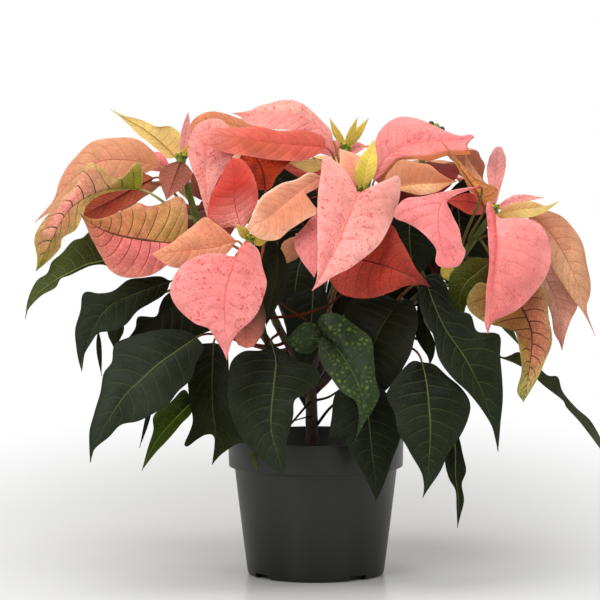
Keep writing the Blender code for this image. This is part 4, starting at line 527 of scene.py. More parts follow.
# ------------------------------------------------------------ living colours
# colours as red, green, blue out of 255: main, patches, foot, tip, margin,
# underside, veins and stalk; then how strong veins, flecks and net are
PARTS = ("main", "patch", "foot", "tip", "margin", "under", "vein", "stalk", "marks")
FINISH = {
    "light_pink": ((247, 170, 160), (244, 152, 146), (244, 152, 142), (246, 158, 150), (250, 184, 172),
                   (222, 128, 104), (222, 110, 98), (206, 150, 96), (0.40, 0.75, 0.22)),
    "rose": ((245, 148, 146), (238, 130, 128), (240, 132, 126), (244, 146, 144), (248, 158, 152),
             (216, 112, 92), (216, 96, 88), (200, 130, 88), (0.42, 0.85, 0.22)),
    "cool_pink": ((242, 140, 138), (236, 122, 122), (246, 154, 148), (244, 142, 144), (246, 156, 152),
                  (220, 120, 108), (214, 92, 86), (206, 140, 100), (0.42, 0.60, 0.24)),
    "salmon": ((228, 106, 90), (218, 92, 74), (216, 96, 76), (230, 116, 94), (234, 124, 106),
               (196, 88, 62), (186, 66, 50), (190, 120, 80), (0.45, 0.50, 0.25)),
    # coral and dark_coral are bracts seen from below in shade with light shining through them: their deep
    # reds are partly painted shade and partly painted light shining through
    "coral": ((208, 74, 60), (196, 60, 46), (238, 120, 110), (222, 88, 76), (218, 86, 74),
              (168, 64, 44), (160, 44, 36), (180, 104, 70), (0.50, 0.60, 0.30)),
    "dark_coral": ((164, 58, 38), (150, 44, 26), (180, 68, 52), (134, 40, 24), (172, 70, 50),
                   (168, 66, 46), (96, 24, 14), (178, 100, 70), (0.70, 0.30, 0.50)),
    "tan": ((214, 148, 108), (204, 132, 92), (203, 134, 98), (208, 146, 112), (216, 158, 122),
            (200, 128, 92), (172, 98, 64), (204, 160, 112), (0.50, 0.25, 0.40)),
    "tan_blush": ((216, 156, 116), (220, 140, 112), (198, 126, 86), (222, 158, 126), (220, 156, 118),
                  (196, 122, 86), (168, 92, 60), (210, 186, 130), (0.50, 0.25, 0.35)),
    "peach": ((228, 152, 116), (218, 134, 96), (232, 156, 120), (226, 146, 108), (236, 168, 130),
              (214, 132, 96), (180, 98, 62), (206, 170, 90), (0.50, 0.40, 0.35)),
    "cream": ((236, 158, 124), (230, 148, 116), (214, 138, 108), (244, 184, 148), (246, 192, 158),
              (222, 150, 108), (196, 110, 80), (210, 160, 110), (0.40, 0.40, 0.30)),
    "yellow": ((224, 190, 114), (220, 178, 104), (216, 170, 100), (226, 198, 128), (226, 196, 118),
               (224, 192, 112), (176, 140, 66), (176, 170, 76), (0.55, 0.05, 0.30)),
    "straw": ((202, 132, 76), (190, 116, 62), (180, 110, 56), (204, 140, 98), (204, 142, 88),
              (196, 124, 74), (120, 62, 30), (180, 150, 80), (0.75, 0.20, 0.50)),
    "yellow_green": ((222, 192, 84), (206, 176, 66), (190, 160, 60), (226, 190, 104), (224, 198, 96),
                     (200, 176, 70), (150, 140, 50), (150, 160, 60), (0.45, 0.10, 0.20)),
    "lime": ((236, 206, 90), (226, 192, 74), (214, 186, 76), (238, 204, 110), (236, 212, 104),
             (214, 190, 80), (160, 150, 56), (150, 160, 60), (0.45, 0.10, 0.20)),
    "marbled": ((240, 150, 136), (226, 146, 116), (238, 136, 126), (184, 160, 84), (190, 178, 92),
                (180, 120, 84), (54, 68, 22), (180, 176, 110), (1.0, 0.45, 0.34)),
    "marbled_brown": ((216, 132, 102), (196, 116, 82), (176, 102, 62), (206, 202, 112), (196, 180, 100),
                      (150, 100, 60), (78, 36, 20), (160, 130, 80), (1.0, 0.10, 0.45)),
    "dusty": ((226, 146, 140), (216, 134, 126), (216, 132, 124), (226, 158, 152), (230, 160, 152),
              (206, 128, 112), (184, 90, 84), (190, 150, 90), (0.50, 0.35, 0.25)),
    "shaded": ((38, 36, 17), (34, 32, 14), (32, 34, 14), (240, 136, 118), (60, 50, 26),
               (206, 128, 112), (70, 60, 30), (190, 150, 90), (0.30, 0.0, 0.25)),
    "russet": ((128, 54, 22), (118, 48, 20), (124, 66, 20), (132, 58, 26), (136, 62, 30),
               (130, 56, 26), (84, 34, 14), (150, 90, 50), (0.60, 0.0, 0.40)),
    "brick": ((158, 86, 68), (150, 78, 60), (148, 82, 60), (164, 90, 74), (160, 90, 72),
              (130, 56, 26), (84, 34, 14), (150, 90, 50), (0.60, 0.0, 0.40)),
    "blood": ((128, 26, 10), (118, 22, 8), (120, 40, 12), (134, 34, 16), (134, 34, 16),
              (110, 26, 10), (84, 14, 8), (150, 80, 50), (0.60, 0.0, 0.40)),
    # in the leaf finishes that follow, the darker foot is painted shade under the crown and the lighter
    # tip is painted light where the leaf reaches out
    "dark": ((30, 36, 21), (25, 30, 15), (9, 10, 3), (40, 47, 33), (33, 40, 26),
             (80, 92, 40), (88, 98, 50), (92, 34, 20), (0.36, 0.0, 0.10)),
    "shadow": ((23, 25, 10), (19, 20, 7), (20, 19, 6), (27, 29, 15), (24, 26, 12),
               (60, 66, 26), (54, 58, 26), (84, 36, 22), (0.5, 0.0, 0.12)),
    "green": ((66, 76, 30), (54, 64, 22), (54, 60, 20), (76, 86, 38), (68, 80, 32),
              (96, 108, 44), (126, 134, 72), (130, 130, 60), (0.65, 0.0, 0.25)),
    # olive: a green leaf deep under the crown, its tones darkened all over by painted shade
    "olive": ((24, 29, 5), (20, 23, 5), (9, 9, 3), (32, 38, 7), (26, 32, 7),
              (80, 88, 30), (60, 66, 24), (120, 84, 48), (0.55, 0.0, 0.20)),
    "mottled": ((30, 46, 18), (42, 58, 26), (24, 32, 10), (34, 50, 24), (38, 54, 26),
                (92, 106, 50), (64, 88, 38), (100, 42, 24), (0.45, 0.0, 0.12)),
}
# which finish each leaf wears and what is its own: its tones, those of the half
# beyond the midrib ("half"), and a band along that half's margin ("rim")
WEARS = {
    "bract_01": ("yellow", {"main": (216, 184, 106), "tip": (214, 188, 110)}),
    "bract_02": ("tan_blush", {}),
    "bract_03": ("marbled", {"main": (178, 132, 80), "foot": (124, 108, 18), "tip": (112, 118, 26),
                             "half": (255, 162, 146), "half_foot": (132, 136, 18),
                             "half_tip": (166, 154, 54), "patch": (236, 134, 118),
                             "rib": (60, 78, 24)}),
    "bract_04": ("dark_coral", {"main": (174, 72, 42), "tip": (166, 68, 38), "foot": (188, 96, 62)}),
    "bract_05": ("marbled", {"main": (228, 122, 110), "foot": (255, 138, 138), "tip": (146, 104, 44),
                             "half": (204, 136, 82), "half_foot": (200, 156, 84),
                             "half_tip": (180, 110, 54), "patch": (236, 118, 112),
                             "margin": (206, 140, 112), "rib": (44, 62, 18),
                             "vein": (112, 42, 32), "half_vein": (42, 66, 16)}),
    "bract_06": ("peach", {"half_foot": (212, 126, 90), "half_tip": (244, 168, 128)}),
    "bract_07": ("rose", {"main": (238, 160, 148), "foot": (236, 158, 142), "tip": (238, 158, 146)}),
    "bract_08": ("coral", {"main": (194, 52, 38), "foot": (255, 165, 152), "tip": (210, 82, 66)}),
    "bract_09": ("tan", {"main": (220, 136, 92), "tip": (222, 140, 98), "margin": (226, 146, 104)}),
    "bract_10": ("light_pink", {"main": (246, 148, 142), "half": (248, 182, 164),
                                "half_foot": (248, 164, 158), "tip": (226, 138, 124)}),
    "bract_11": ("salmon", {"main": (196, 90, 62), "half": (222, 102, 84), "tip": (226, 138, 126),
                            "half_tip": (236, 146, 134)}),
    "bract_12": ("dark_coral", {"main": (232, 84, 38), "foot": (196, 60, 22), "tip": (236, 90, 46)}),
    "bract_13": ("cream", {"main": (222, 138, 104), "half": (216, 140, 106),
                           "rim": (248, 206, 178), "rim_start": 0.86}),
    "bract_15": ("light_pink", {"half": (246, 156, 150), "half_foot": (248, 160, 150),
                                "half_tip": (242, 150, 142)}),
    "bract_16": ("cool_pink", {"main": (246, 148, 144), "half": (244, 138, 130), "rim": (184, 106, 56),
                               "rim_start": 0.70}),
    "bract_17": ("tan", {"main": (184, 106, 66), "tip": (176, 84, 46), "half": (240, 182, 128),
                         "half_foot": (240, 170, 112), "half_tip": (190, 114, 72)}),
    "bract_18": ("cool_pink", {"stalk": (104, 96, 44), "main": (246, 144, 144), "tip": (246, 134, 138)}),
    # bract_19's light foot tones are painted light where the crown shades it
    "bract_19": ("dark_coral", {"main": (176, 54, 34), "foot": (226, 84, 56), "half_foot": (255, 112, 92),
                                "tip": (90, 14, 6)}),
    "bract_20": ("straw", {"stalk": (104, 88, 40), "main": (236, 152, 86), "foot": (206, 126, 64),
                           "half_foot": (176, 66, 26)}),
    "bract_21": ("yellow", {"stalk": (104, 100, 44), "main": (208, 154, 96), "foot": (182, 132, 72),
                            "half": (218, 184, 112), "half_foot": (188, 138, 74),
                            "tip": (202, 180, 92)}),
    "bract_22": ("cool_pink", {"stalk": (104, 96, 44), "main": (240, 136, 132),
                               "foot": (248, 156, 150), "half": (222, 110, 108),
                               "half_foot": (222, 110, 108), "tip": (228, 118, 114),
                               "half_tip": (240, 148, 140)}),
    "bract_23": ("tan", {"stalk": (110, 84, 44), "main": (228, 168, 128), "half": (242, 186, 142),
                         "foot": (202, 132, 98), "patch": (214, 148, 108), "tip": (220, 160, 124),
                         "half_foot": (222, 150, 116)}),
    # bract_24's very pale tones are painted light: it lies in shade and stands for light shining through
    # it
    "bract_24": ("tan_blush", {"stalk": (104, 84, 44), "main": (255, 180, 158),
                               "half": (255, 194, 164), "foot": (255, 222, 196),
                               "tip": (236, 158, 142), "patch": (248, 176, 152),
                               "half_tip": (220, 124, 104)}),
    "bract_25": ("marbled_brown", {"stalk": (96, 84, 40), "half": (168, 120, 56),
                                   "half_foot": (150, 88, 36)}),
    # on the leaves below, darker foot tones are painted shade under the crown and lighter tips are painted
    # light
    "leaf_01": ("green", {"main": (70, 80, 38), "half": (78, 86, 46)}),
    "leaf_02": ("dark", {"main": (40, 48, 35), "foot": (20, 21, 8), "half_foot": (30, 30, 16)}),
    "leaf_03": ("dark", {"main": (46, 53, 41), "foot": (34, 39, 28), "tip": (42, 48, 36)}),
    "leaf_04": ("green", {"main": (58, 74, 14), "foot": (24, 34, 6), "half_foot": (68, 84, 14),
                          "tip": (58, 70, 10), "patch": (50, 64, 12), "vein": (104, 116, 42)}),
    "leaf_05": ("olive", {}),
    "leaf_07": ("mottled", {}),
    "leaf_08": ("shadow", {}),
    "leaf_10": ("dark", {"main": (30, 33, 20)}),
    "leaf_12": ("green", {"main": (60, 70, 12), "foot": (88, 74, 18), "tip": (64, 76, 8),
                          "patch": (56, 64, 12)}),
    "leaf_13": ("dark", {"main": (20, 24, 10), "foot": (17, 20, 7), "tip": (24, 28, 19),
                         "patch": (18, 22, 9), "vein": (70, 80, 40)}),
    "leaf_14": ("shadow", {}),
    "leaf_15": ("shadow", {"main": (38, 38, 18)}),
    "leaf_16": ("dark", {"main": (58, 62, 44), "foot": (60, 64, 38), "tip": (78, 82, 54),
                         "patch": (52, 56, 38)}),
    "leaf_17": ("olive", {}),
}
# the finish of a leaf that the table above doesn't name
SLOT_FINISH = {
    "bract_pink": "rose", "bract_coral": "salmon", "bract_tan": "tan", "bract_yellow": "yellow",
    "bract_marbled": "marbled", "leaf_dark": "dark", "leaf_green": "green", "leaf_mottled": "mottled",
}
# members of a spray that differ from its material, counted from 0
SPRAY_WEAR = {
    "spray_side_right": {0: "cream", 2: "blood"},
    "spray_back_left": {0: "russet"},
    "spray_back_right": {2: "yellow"},
}
# the young bracts of each flower head, in the order of its table
YOUNG_WEAR = {
    "flower_head_left": ("yellow_green", "dusty", "brick"),
    "flower_head_front": ("yellow_green", "yellow_green", "shaded"),
    "flower_head_middle": ("lime", "cream", "rose"),
    "flower_head_top": ("lime", "lime", "lime"),
    "flower_head_right": ("dusty", "tan", "light_pink", "coral"),
}
GREEN_FINISHES = ("dark", "shadow", "green", "olive")


def smooth_curve(points, count):
    """Samples, even by length, on a smooth line through the given points."""
    pts = np.array(points, float)
    ext = np.vstack([2 * pts[0] - pts[1], pts, 2 * pts[-1] - pts[-2]])
    dense = []
    for p0, p1, p2, p3 in zip(ext, ext[1:], ext[2:], ext[3:]):
        for t in np.linspace(0, 1, SPLINE_STEPS, endpoint=False):
            q = 2 * p1 + (p2 - p0) * t
            q = q + (2 * p0 - 5 * p1 + 4 * p2 - p3) * t ** 2
            q = q + (3 * p1 - p0 - 3 * p2 + p3) * t ** 3
            dense.append(0.5 * q)
    dense = np.array(dense + [ext[-2]])
    run = np.concatenate([[0], np.cumsum(np.linalg.norm(np.diff(dense, axis=0), axis=1))])
    want = np.linspace(0, run[-1], count)
    return np.stack([np.interp(want, run, dense[:, k]) for k in range(3)], 1)


def unit(vectors):
    """One vector, or rows of them, each made one long."""
    vectors = np.asarray(vectors, float)
    return vectors / np.maximum(np.linalg.norm(vectors, axis=-1, keepdims=True), 1e-9)


def branch_point(key, place):
    """Point at a share of a branch's length, its direction and its radius there."""
    line = smooth_curve(BRANCH[key][1], BRANCH_POINTS)
    i = min(BRANCH_POINTS - 2, int(place * (BRANCH_POINTS - 1)))
    part = place * (BRANCH_POINTS - 1) - i
    radius = BRANCH[key][0] + BRANCH_SWELL - BRANCH_TAPER * place
    return line[i] * (1 - part) + line[i + 1] * part, unit(line[i + 1] - line[i]), radius


def beside(key, place, target, gap):
    """A point just off a branch on the side that looks at the target, and that side."""
    root, course, radius = branch_point(key, place)
    away = np.asarray(target, float) - root
    aside = unit(away - course * float(np.dot(away, course)))
    return root + aside * (radius + gap), aside


def own_edges(rib, edge_a, edge_b, rows):
    """Midrib and both edges of a blade drawn point by point, foot and tip shared."""
    ends = rib[:1], rib[-1:]
    return [smooth_curve(course, rows) for course in
            (rib, ends[0] + edge_a + ends[1], ends[0] + edge_b + ends[1])]


def even_edges(rib, a, b, outline, rows):
    """Midrib and both edges of a blade given by its two sides and an outline."""
    line = smooth_curve(rib, rows)
    width = np.interp(np.linspace(0, 1, rows), np.linspace(0, 1, len(outline)), outline)
    return [line] + [line + np.array(side, float) * width[:, None] for side in (a, b)]


def turned_edges(show, line, left, right):
    """Directions of the line, and the edges ordered so the upper face is known."""
    tang = unit(np.gradient(line, axis=0))
    view = (0.0, 0.0, 1.0) if show == "up" else (0.0, -1.0, 0.35)
    span = (right - left).mean(axis=0)
    face = np.dot(np.cross(span, tang[len(tang) // 2]), view)
    if (face > 0) != (show != "under"):
        left, right = right, left
    return tang, left, right


def least_width(line, left, right, tang, foot_half):
    """Keeps both edges a little off the midrib, so the blade never has no width."""
    side = right - left
    side = side - tang * np.sum(side * tang, axis=1)[:, None]
    size = np.linalg.norm(side, axis=1)
    good = np.where(size > CLEAR_WIDTH)[0]
    picks = good[np.argmin(np.abs(np.arange(len(line))[:, None] - good[None, :]), axis=1)]
    side = side[picks] / size[picks][:, None]
    room = np.full(len(line), LEAST_HALF)
    room[0] = foot_half
    out = []
    for edge, sign in ((left, -1.0), (right, 1.0)):
        narrow = (np.linalg.norm(edge - line, axis=1) < room)[:, None]
        out.append(np.where(narrow, line + sign * side * room[:, None], edge))
    return out


# ------------------------------------------------------------ shader wiring
def linear(colour):
    """Screen red, green, blue out of 255 as linear light."""
    shares = [part / 255.0 for part in colour]
    return tuple(v / 12.92 if v <= 0.04045 else ((v + 0.055) / 1.055) ** 2.4 for v in shares)


class Wiring:
    """Makes the nodes of one shader tree and links them as it goes."""

    def __init__(self, tree):
        self.tree = tree

    def link(self, value, socket):
        self.tree.links.new(value, socket)

    def node(self, kind, inputs=None, **settings):
        """A node: plain values are set on its inputs, sockets are linked to them."""
        made = self.tree.nodes.new("ShaderNode" + kind)
        for label, value in settings.items():
            setattr(made, label, value)
        for label, value in (inputs or {}).items():
            if isinstance(value, bpy.types.NodeSocket):
                self.link(value, made.inputs[label])
            else:
                made.inputs[label].default_value = value
        return made

    def calc(self, operation, *values):
        return self.node("Math", dict(enumerate(values)), operation=operation).outputs[0]

    def scaled(self, vector, factor):
        """A place or a colour times a factor."""
        return self.node("VectorMath", {0: vector, "Scale": factor}, operation="SCALE").outputs[0]

    def parts(self, vector):
        return self.node("SeparateXYZ", {0: vector}).outputs

    def ramp(self, value, low, high, out_low=0.0, out_high=1.0):
        """A smooth step from out_low to out_high as the value goes from low to high."""
        ends = {"From Min": low, "From Max": high, "To Min": out_low, "To Max": out_high}
        return self.node("MapRange", {"Value": value, **ends},
                         interpolation_type="SMOOTHSTEP").outputs["Result"]

    def blend(self, share, first, second):
        """Two colours mixed; each is a socket or red, green, blue out of 255."""
        first, second = ((*linear(c), 1.0) if isinstance(c, tuple) else c for c in (first, second))
        return self.node("Mix", {0: share, 6: first, 7: second}, data_type="RGBA").outputs[2]

    def noise(self, place, scale, detail, rough=0.5):
        grain = {"Scale": scale, "Detail": detail, "Roughness": rough}
        return self.node("TexNoise", {"Vector": place, **grain}).outputs["Fac"]

    def cell_edges(self, place, scale):
        """How far a place is from the border of its cell."""
        return self.node("TexVoronoi", {"Vector": place, "Scale": scale},
                         feature="DISTANCE_TO_EDGE").outputs["Distance"]

    def painted(self, name):
        """What is painted on the points of the mesh under that name."""
        return self.node("Attribute", attribute_name=name).outputs

    def group(self, effect, inputs):
        """A shared effect with this finish's own values."""
        return self.node("Group", inputs, node_tree=effect).outputs

    def bump(self, shader, height, strength, distance):
        relief = {"Strength": strength, "Distance": distance, "Height": height}
        self.link(self.node("Bump", relief).outputs["Normal"], shader["Normal"])


def new_group(name, inputs, outputs):
    """A shared effect: an input with no value is a vector, all others are numbers."""
    group = bpy.data.node_groups.new(name, "ShaderNodeTree")
    for label, value in inputs.items():
        kind = "NodeSocketVector" if value is None else "NodeSocketFloat"
        socket = group.interface.new_socket(label, in_out="INPUT", socket_type=kind)
        if value is not None:
            socket.default_value = value
    for label in outputs:
        group.interface.new_socket(label, in_out="OUTPUT", socket_type="NodeSocketFloat")
    given = group.nodes.new("NodeGroupInput").outputs
    result = group.nodes.new("NodeGroupOutput").inputs
    return group, Wiring(group), given, result


def make_vein_group():
    """Where the midrib, the side veins and the fine net run on a blade."""
    group, nodes, given, result = new_group(
        "blade_veins", {"Blade": None, "Place": None, "Net Scale": 260.0, "Vein Width": 1.0},
        ("Veins", "Net", "Cells", "Height"))
    along, signed = nodes.parts(given["Blade"])[:2]
    across = nodes.calc("ABSOLUTE", signed)
    side = nodes.calc("GREATER_THAN", signed, 0.0)
    bend = nodes.calc("ADD", nodes.calc("MULTIPLY", across, VEIN_BEND), VEIN_SWEEP)
    bend = nodes.calc("MULTIPLY", bend, across)
    place = nodes.calc("MULTIPLY", nodes.calc("SUBTRACT", along, bend), VEIN_PAIRS)
    place = nodes.calc("MULTIPLY_ADD", side, VEIN_STAGGER, place)
    wobble = nodes.noise(given["Place"], 60.0, 2.0)
    place = nodes.calc("MULTIPLY_ADD", wobble, 0.22, place)
    gap = nodes.calc("ABSOLUTE", nodes.calc("SUBTRACT", nodes.calc("FRACT", place), 0.5))
    gap = nodes.calc("SUBTRACT", 0.5, gap)
    wide = nodes.calc("MULTIPLY_ADD", across, -0.028, 0.050)
    wide = nodes.calc("MULTIPLY", wide, given["Vein Width"])
    off = nodes.calc("DIVIDE", gap, wide)
    fade = nodes.ramp(across, 0.55, 1.05, 1.0, 0.25)
    side_vein = nodes.calc("MULTIPLY", nodes.ramp(off, 0.35, 1.3, 1.0, 0.0), fade)
    rib = nodes.ramp(across, 0.012, 0.038, 1.0, 0.0)
    border = nodes.cell_edges(given["Place"], given["Net Scale"])
    fine = nodes.calc("MULTIPLY", border, 0.5)
    nodes.link(nodes.calc("MAXIMUM", side_vein, rib), result["Veins"])
    nodes.link(nodes.ramp(border, 0.02, 0.14, 1.0, 0.0), result["Net"])
    nodes.link(nodes.ramp(border, 0.04, 0.50), result["Cells"])
    nodes.link(nodes.calc("ADD", nodes.ramp(off, 0.3, 6.0), fine), result["Height"])
    return group


def make_fleck_group():
    """Small scattered dashes and blots of deeper colour, a blush and faint clouds."""
    group, nodes, given, result = new_group(
        "flecks", {"Place": None, "Size": 1.0}, ("Flecks", "Blush", "Clouds"))
    place = nodes.scaled(given["Place"], given["Size"])
    crowd = nodes.noise(place, 34.0, 2.0)
    dots = nodes.ramp(nodes.noise(place, 420.0, 2.0, 0.6), 0.57, 0.665)
    dots = nodes.calc("MULTIPLY", dots, nodes.ramp(crowd, 0.36, 0.60))
    blots = nodes.ramp(nodes.noise(place, 150.0, 2.0, 0.6), 0.64, 0.74)
    blots = nodes.calc("MULTIPLY", blots, 0.85)
    blush = nodes.ramp(nodes.noise(place, 105.0, 3.0, 0.65), 0.50, 0.70)
    blush = nodes.calc("MULTIPLY", blush, nodes.ramp(crowd, 0.32, 0.62, 0.25, 1.0))
    nodes.link(nodes.calc("MAXIMUM", dots, blots), result["Flecks"])
    nodes.link(blush, result["Blush"])
    nodes.link(nodes.noise(place, 70.0, 4.0, 0.6), result["Clouds"])
    return group


VEIN_GROUP = make_vein_group()
FLECK_GROUP = make_fleck_group()


# ------------------------------------------------------------ the finishes
def new_material(name, roughness, gloss=0.5):
    """A material, its wiring, its shader's inputs and the place on the piece."""
    material = bpy.data.materials.new(name)
    material.use_nodes = True
    nodes = Wiring(material.node_tree)
    shader = material.node_tree.nodes["Principled BSDF"].inputs
    shader["Roughness"].default_value = roughness
    shader["Specular IOR Level"].default_value = gloss
    return material, nodes, shader, nodes.node("TexCoord").outputs["Object"]


def blade_material(name, roughness, gloss, sheen, net_scale, fleck, cloud, blister=0.0, vein_width=1.0):
    """Skin of a leaf or bract: its own tints, with veins, net and flecks on them."""
    material, nodes, shader, place = new_material(name, roughness, gloss)
    vein_tint = nodes.painted("vein_tint")["Color"]
    vein_mark, fleck_mark, net_mark = nodes.parts(nodes.painted("marks")["Vector"])
    veins = nodes.group(VEIN_GROUP, {"Blade": nodes.painted("blade")["Vector"], "Place": place,
                                     "Net Scale": net_scale, "Vein Width": vein_width})
    flecks = nodes.group(FLECK_GROUP, {"Place": place})
    lift = nodes.ramp(flecks["Clouds"], 0.3, 0.7, 1.0 - cloud, 1.0 + cloud)
    colour = nodes.scaled(nodes.painted("tint")["Color"], lift)
    if blister:
        spread = nodes.ramp(nodes.noise(place, 34.0, 3.0), 0.40, 0.60, 0.08, 1.0)
        patch = nodes.calc("MULTIPLY", nodes.calc("MULTIPLY", veins["Cells"], blister), spread)
        colour = nodes.blend(patch, colour, BLISTER)
    net = nodes.calc("MULTIPLY", nodes.calc("MULTIPLY", veins["Net"], net_mark), NET_SHARE)
    colour = nodes.blend(net, colour, vein_tint)
    colour = nodes.blend(nodes.calc("MULTIPLY", veins["Veins"], vein_mark), colour, vein_tint)
    blush = nodes.calc("MULTIPLY", nodes.calc("MULTIPLY", flecks["Blush"], fleck_mark), BLUSH_SHARE)
    colour = nodes.blend(blush, colour, fleck)
    colour = nodes.blend(nodes.calc("MULTIPLY", flecks["Flecks"], fleck_mark), colour, fleck)
    nodes.link(colour, shader["Base Color"])
    dull = nodes.ramp(flecks["Clouds"], 0.3, 0.7, roughness - 0.05, roughness + 0.06)
    nodes.link(dull, shader["Roughness"])
    shader["Sheen Weight"].default_value = sheen
    nodes.bump(shader, veins["Height"], 0.42, 0.0006)
    return material


def bark_material():
    """Stem skin: brown and corky at the foot, smooth and green towards the flowers."""
    material, nodes, shader, place = new_material("stem_bark", 0.6)
    drift = nodes.noise(place, 30.0, 3.0)
    height = nodes.calc("MULTIPLY_ADD", drift, 0.06, nodes.parts(place)["Z"])
    lengthwise = nodes.node("Mapping", {"Vector": place, "Scale": (1.0, 1.0, 0.22)}).outputs[0]
    streak = nodes.noise(lengthwise, 480.0, 4.0, 0.65)
    brown = nodes.blend(nodes.ramp(streak, 0.35, 0.68), (34, 20, 11), (80, 50, 28))
    live = nodes.blend(nodes.ramp(streak, 0.3, 0.7), (72, 90, 20), (120, 138, 42))
    colour = nodes.blend(nodes.ramp(height, 0.24, 0.39), brown, live)
    spots = nodes.ramp(nodes.cell_edges(place, 300.0), 0.0, 0.10, 1.0, 0.0)
    colour = nodes.blend(nodes.calc("MULTIPLY", spots, 0.25), colour, (60, 44, 26))
    nodes.link(colour, shader["Base Color"])
    nodes.bump(shader, streak, 0.45, 0.0006)
    return material


def soil_material():
    """Damp dark peat with paler fibres and crumbs."""
    material, nodes, shader, place = new_material("peat", 0.92)
    grain = nodes.noise(place, 520.0, 5.0, 0.7)
    lumps = nodes.noise(place, 110.0, 4.0, 0.6)
    colour = nodes.blend(nodes.ramp(grain, 0.35, 0.7), (14, 10, 7), (48, 34, 22))
    lying = nodes.node("Mapping", {"Vector": place, "Scale": (1.0, 0.18, 1.0),
                                   "Rotation": (0.0, 0.0, 0.6)}).outputs[0]
    fibre = nodes.ramp(nodes.noise(lying, 700.0, 2.0), 0.66, 0.72)
    nodes.link(nodes.blend(fibre, colour, (112, 84, 54)), shader["Base Color"])
    nodes.link(nodes.ramp(lumps, 0.3, 0.7, 0.75, 0.98), shader["Roughness"])
    nodes.bump(shader, nodes.calc("ADD", grain, lumps), 0.8, 0.0015)
    return material


def pot_material():
    """Thin moulded plastic, satin, with a trace of dust, edges painted lighter as rubbing and a painted
    highlight, and painted shade towards the foot.
    """
    material, nodes, shader, place = new_material("moulded_plastic", 0.40, 0.35)
    height = nodes.parts(place)["Z"]
    cloud = nodes.noise(place, 14.0, 4.0)
    colour = nodes.blend(nodes.ramp(cloud, 0.3, 0.7), (32, 33, 26), (38, 39, 32))
    dust = nodes.ramp(nodes.noise(place, 260.0, 3.0, 0.7), 0.66, 0.74)
    colour = nodes.blend(nodes.calc("MULTIPLY", dust, 0.10), colour, (120, 116, 104))
    # lighter convex edges: partly rubbed wear, partly a painted highlight where the rim catches the light
    lit_and_rubbed = nodes.ramp(nodes.node("NewGeometry").outputs["Pointiness"], 0.53, 0.60)
    colour = nodes.blend(nodes.calc("MULTIPLY", lit_and_rubbed, 0.35), colour, (84, 84, 74))
    # darker towards the foot: painted shade
    colour = nodes.blend(nodes.ramp(height, 0.0, 0.09, 0.75, 0.0), colour, (14, 15, 11))
    nodes.link(colour, shader["Base Color"])
    nodes.link(nodes.ramp(cloud, 0.3, 0.7, 0.38, 0.48), shader["Roughness"])
    rings = nodes.calc("SINE", nodes.calc("MULTIPLY", height, 900.0))
    rings = nodes.calc("ADD", nodes.calc("MULTIPLY", rings, 0.12), nodes.noise(place, 900.0, 2.0))
    nodes.bump(shader, rings, 0.12, 0.0003)
    return material


def flower_material():
    """Waxy cups of the little flowers: green, yellow lips, red tips, by painted tint."""
    material, nodes, shader, place = new_material("flower_cups", 0.38)
    mottle = nodes.noise(place, 700.0, 3.0)
    lift = nodes.ramp(mottle, 0.3, 0.7, 0.82, 1.15)
    nodes.link(nodes.scaled(nodes.painted("tint")["Color"], lift), shader["Base Color"])
    nodes.bump(shader, mottle, 0.3, 0.0004)
    return material


BLISTER = (128, 154, 52)
RED_FLECK = (206, 62, 66)
GREEN_FLECK = (60, 70, 30)
NET_SHARE = 0.7
BLUSH_SHARE = 0.42
BRACT_SKIN = blade_material("bract_skin", 0.60, 0.20, 0.03, 300.0, RED_FLECK, 0.11)
MARBLED_SKIN = blade_material("marbled_skin", 0.58, 0.20, 0.02, 250.0, RED_FLECK, 0.20,
                              vein_width=1.3)
LEAF_SKIN = blade_material("leaf_skin", 0.46, 0.09, 0.0, 320.0, GREEN_FLECK, 0.16,
                           vein_width=0.62)
MOTTLED_SKIN = blade_material("mottled_skin", 0.44, 0.2, 0.0, 210.0, GREEN_FLECK, 0.16,
                              blister=0.55, vein_width=0.7)
BARK = bark_material()
PEAT = soil_material()
POT_PLASTIC = pot_material()
CUPS = flower_material()


def skin_of(finish):
    if finish.startswith("marbled"):
        return MARBLED_SKIN
    if finish == "mottled":
        return MOTTLED_SKIN
    return LEAF_SKIN if finish in GREEN_FINISHES else BRACT_SKIN


# ------------------------------------------------------------- blade making
BLADE_LAYERS = (("blade", "float_vector"), ("tint", "float_color"),
                ("vein_tint", "float_color"), ("marks", "float_vector"))


def start_mesh():
    """An empty mesh that can be painted with what the finishes read."""
    bm = bmesh.new()
    for label, kind in BLADE_LAYERS:
        getattr(bm.verts.layers, kind).new(label)
    return bm


def look_of(finish, own):
    """All tones of a leaf: those of its finish, with its own put over them."""
    look = dict(zip(PARTS, FINISH[finish]))
    look.update(own)
    for part in ("foot", "tip"):
        look.setdefault("half_" + part, look[part])
    return look


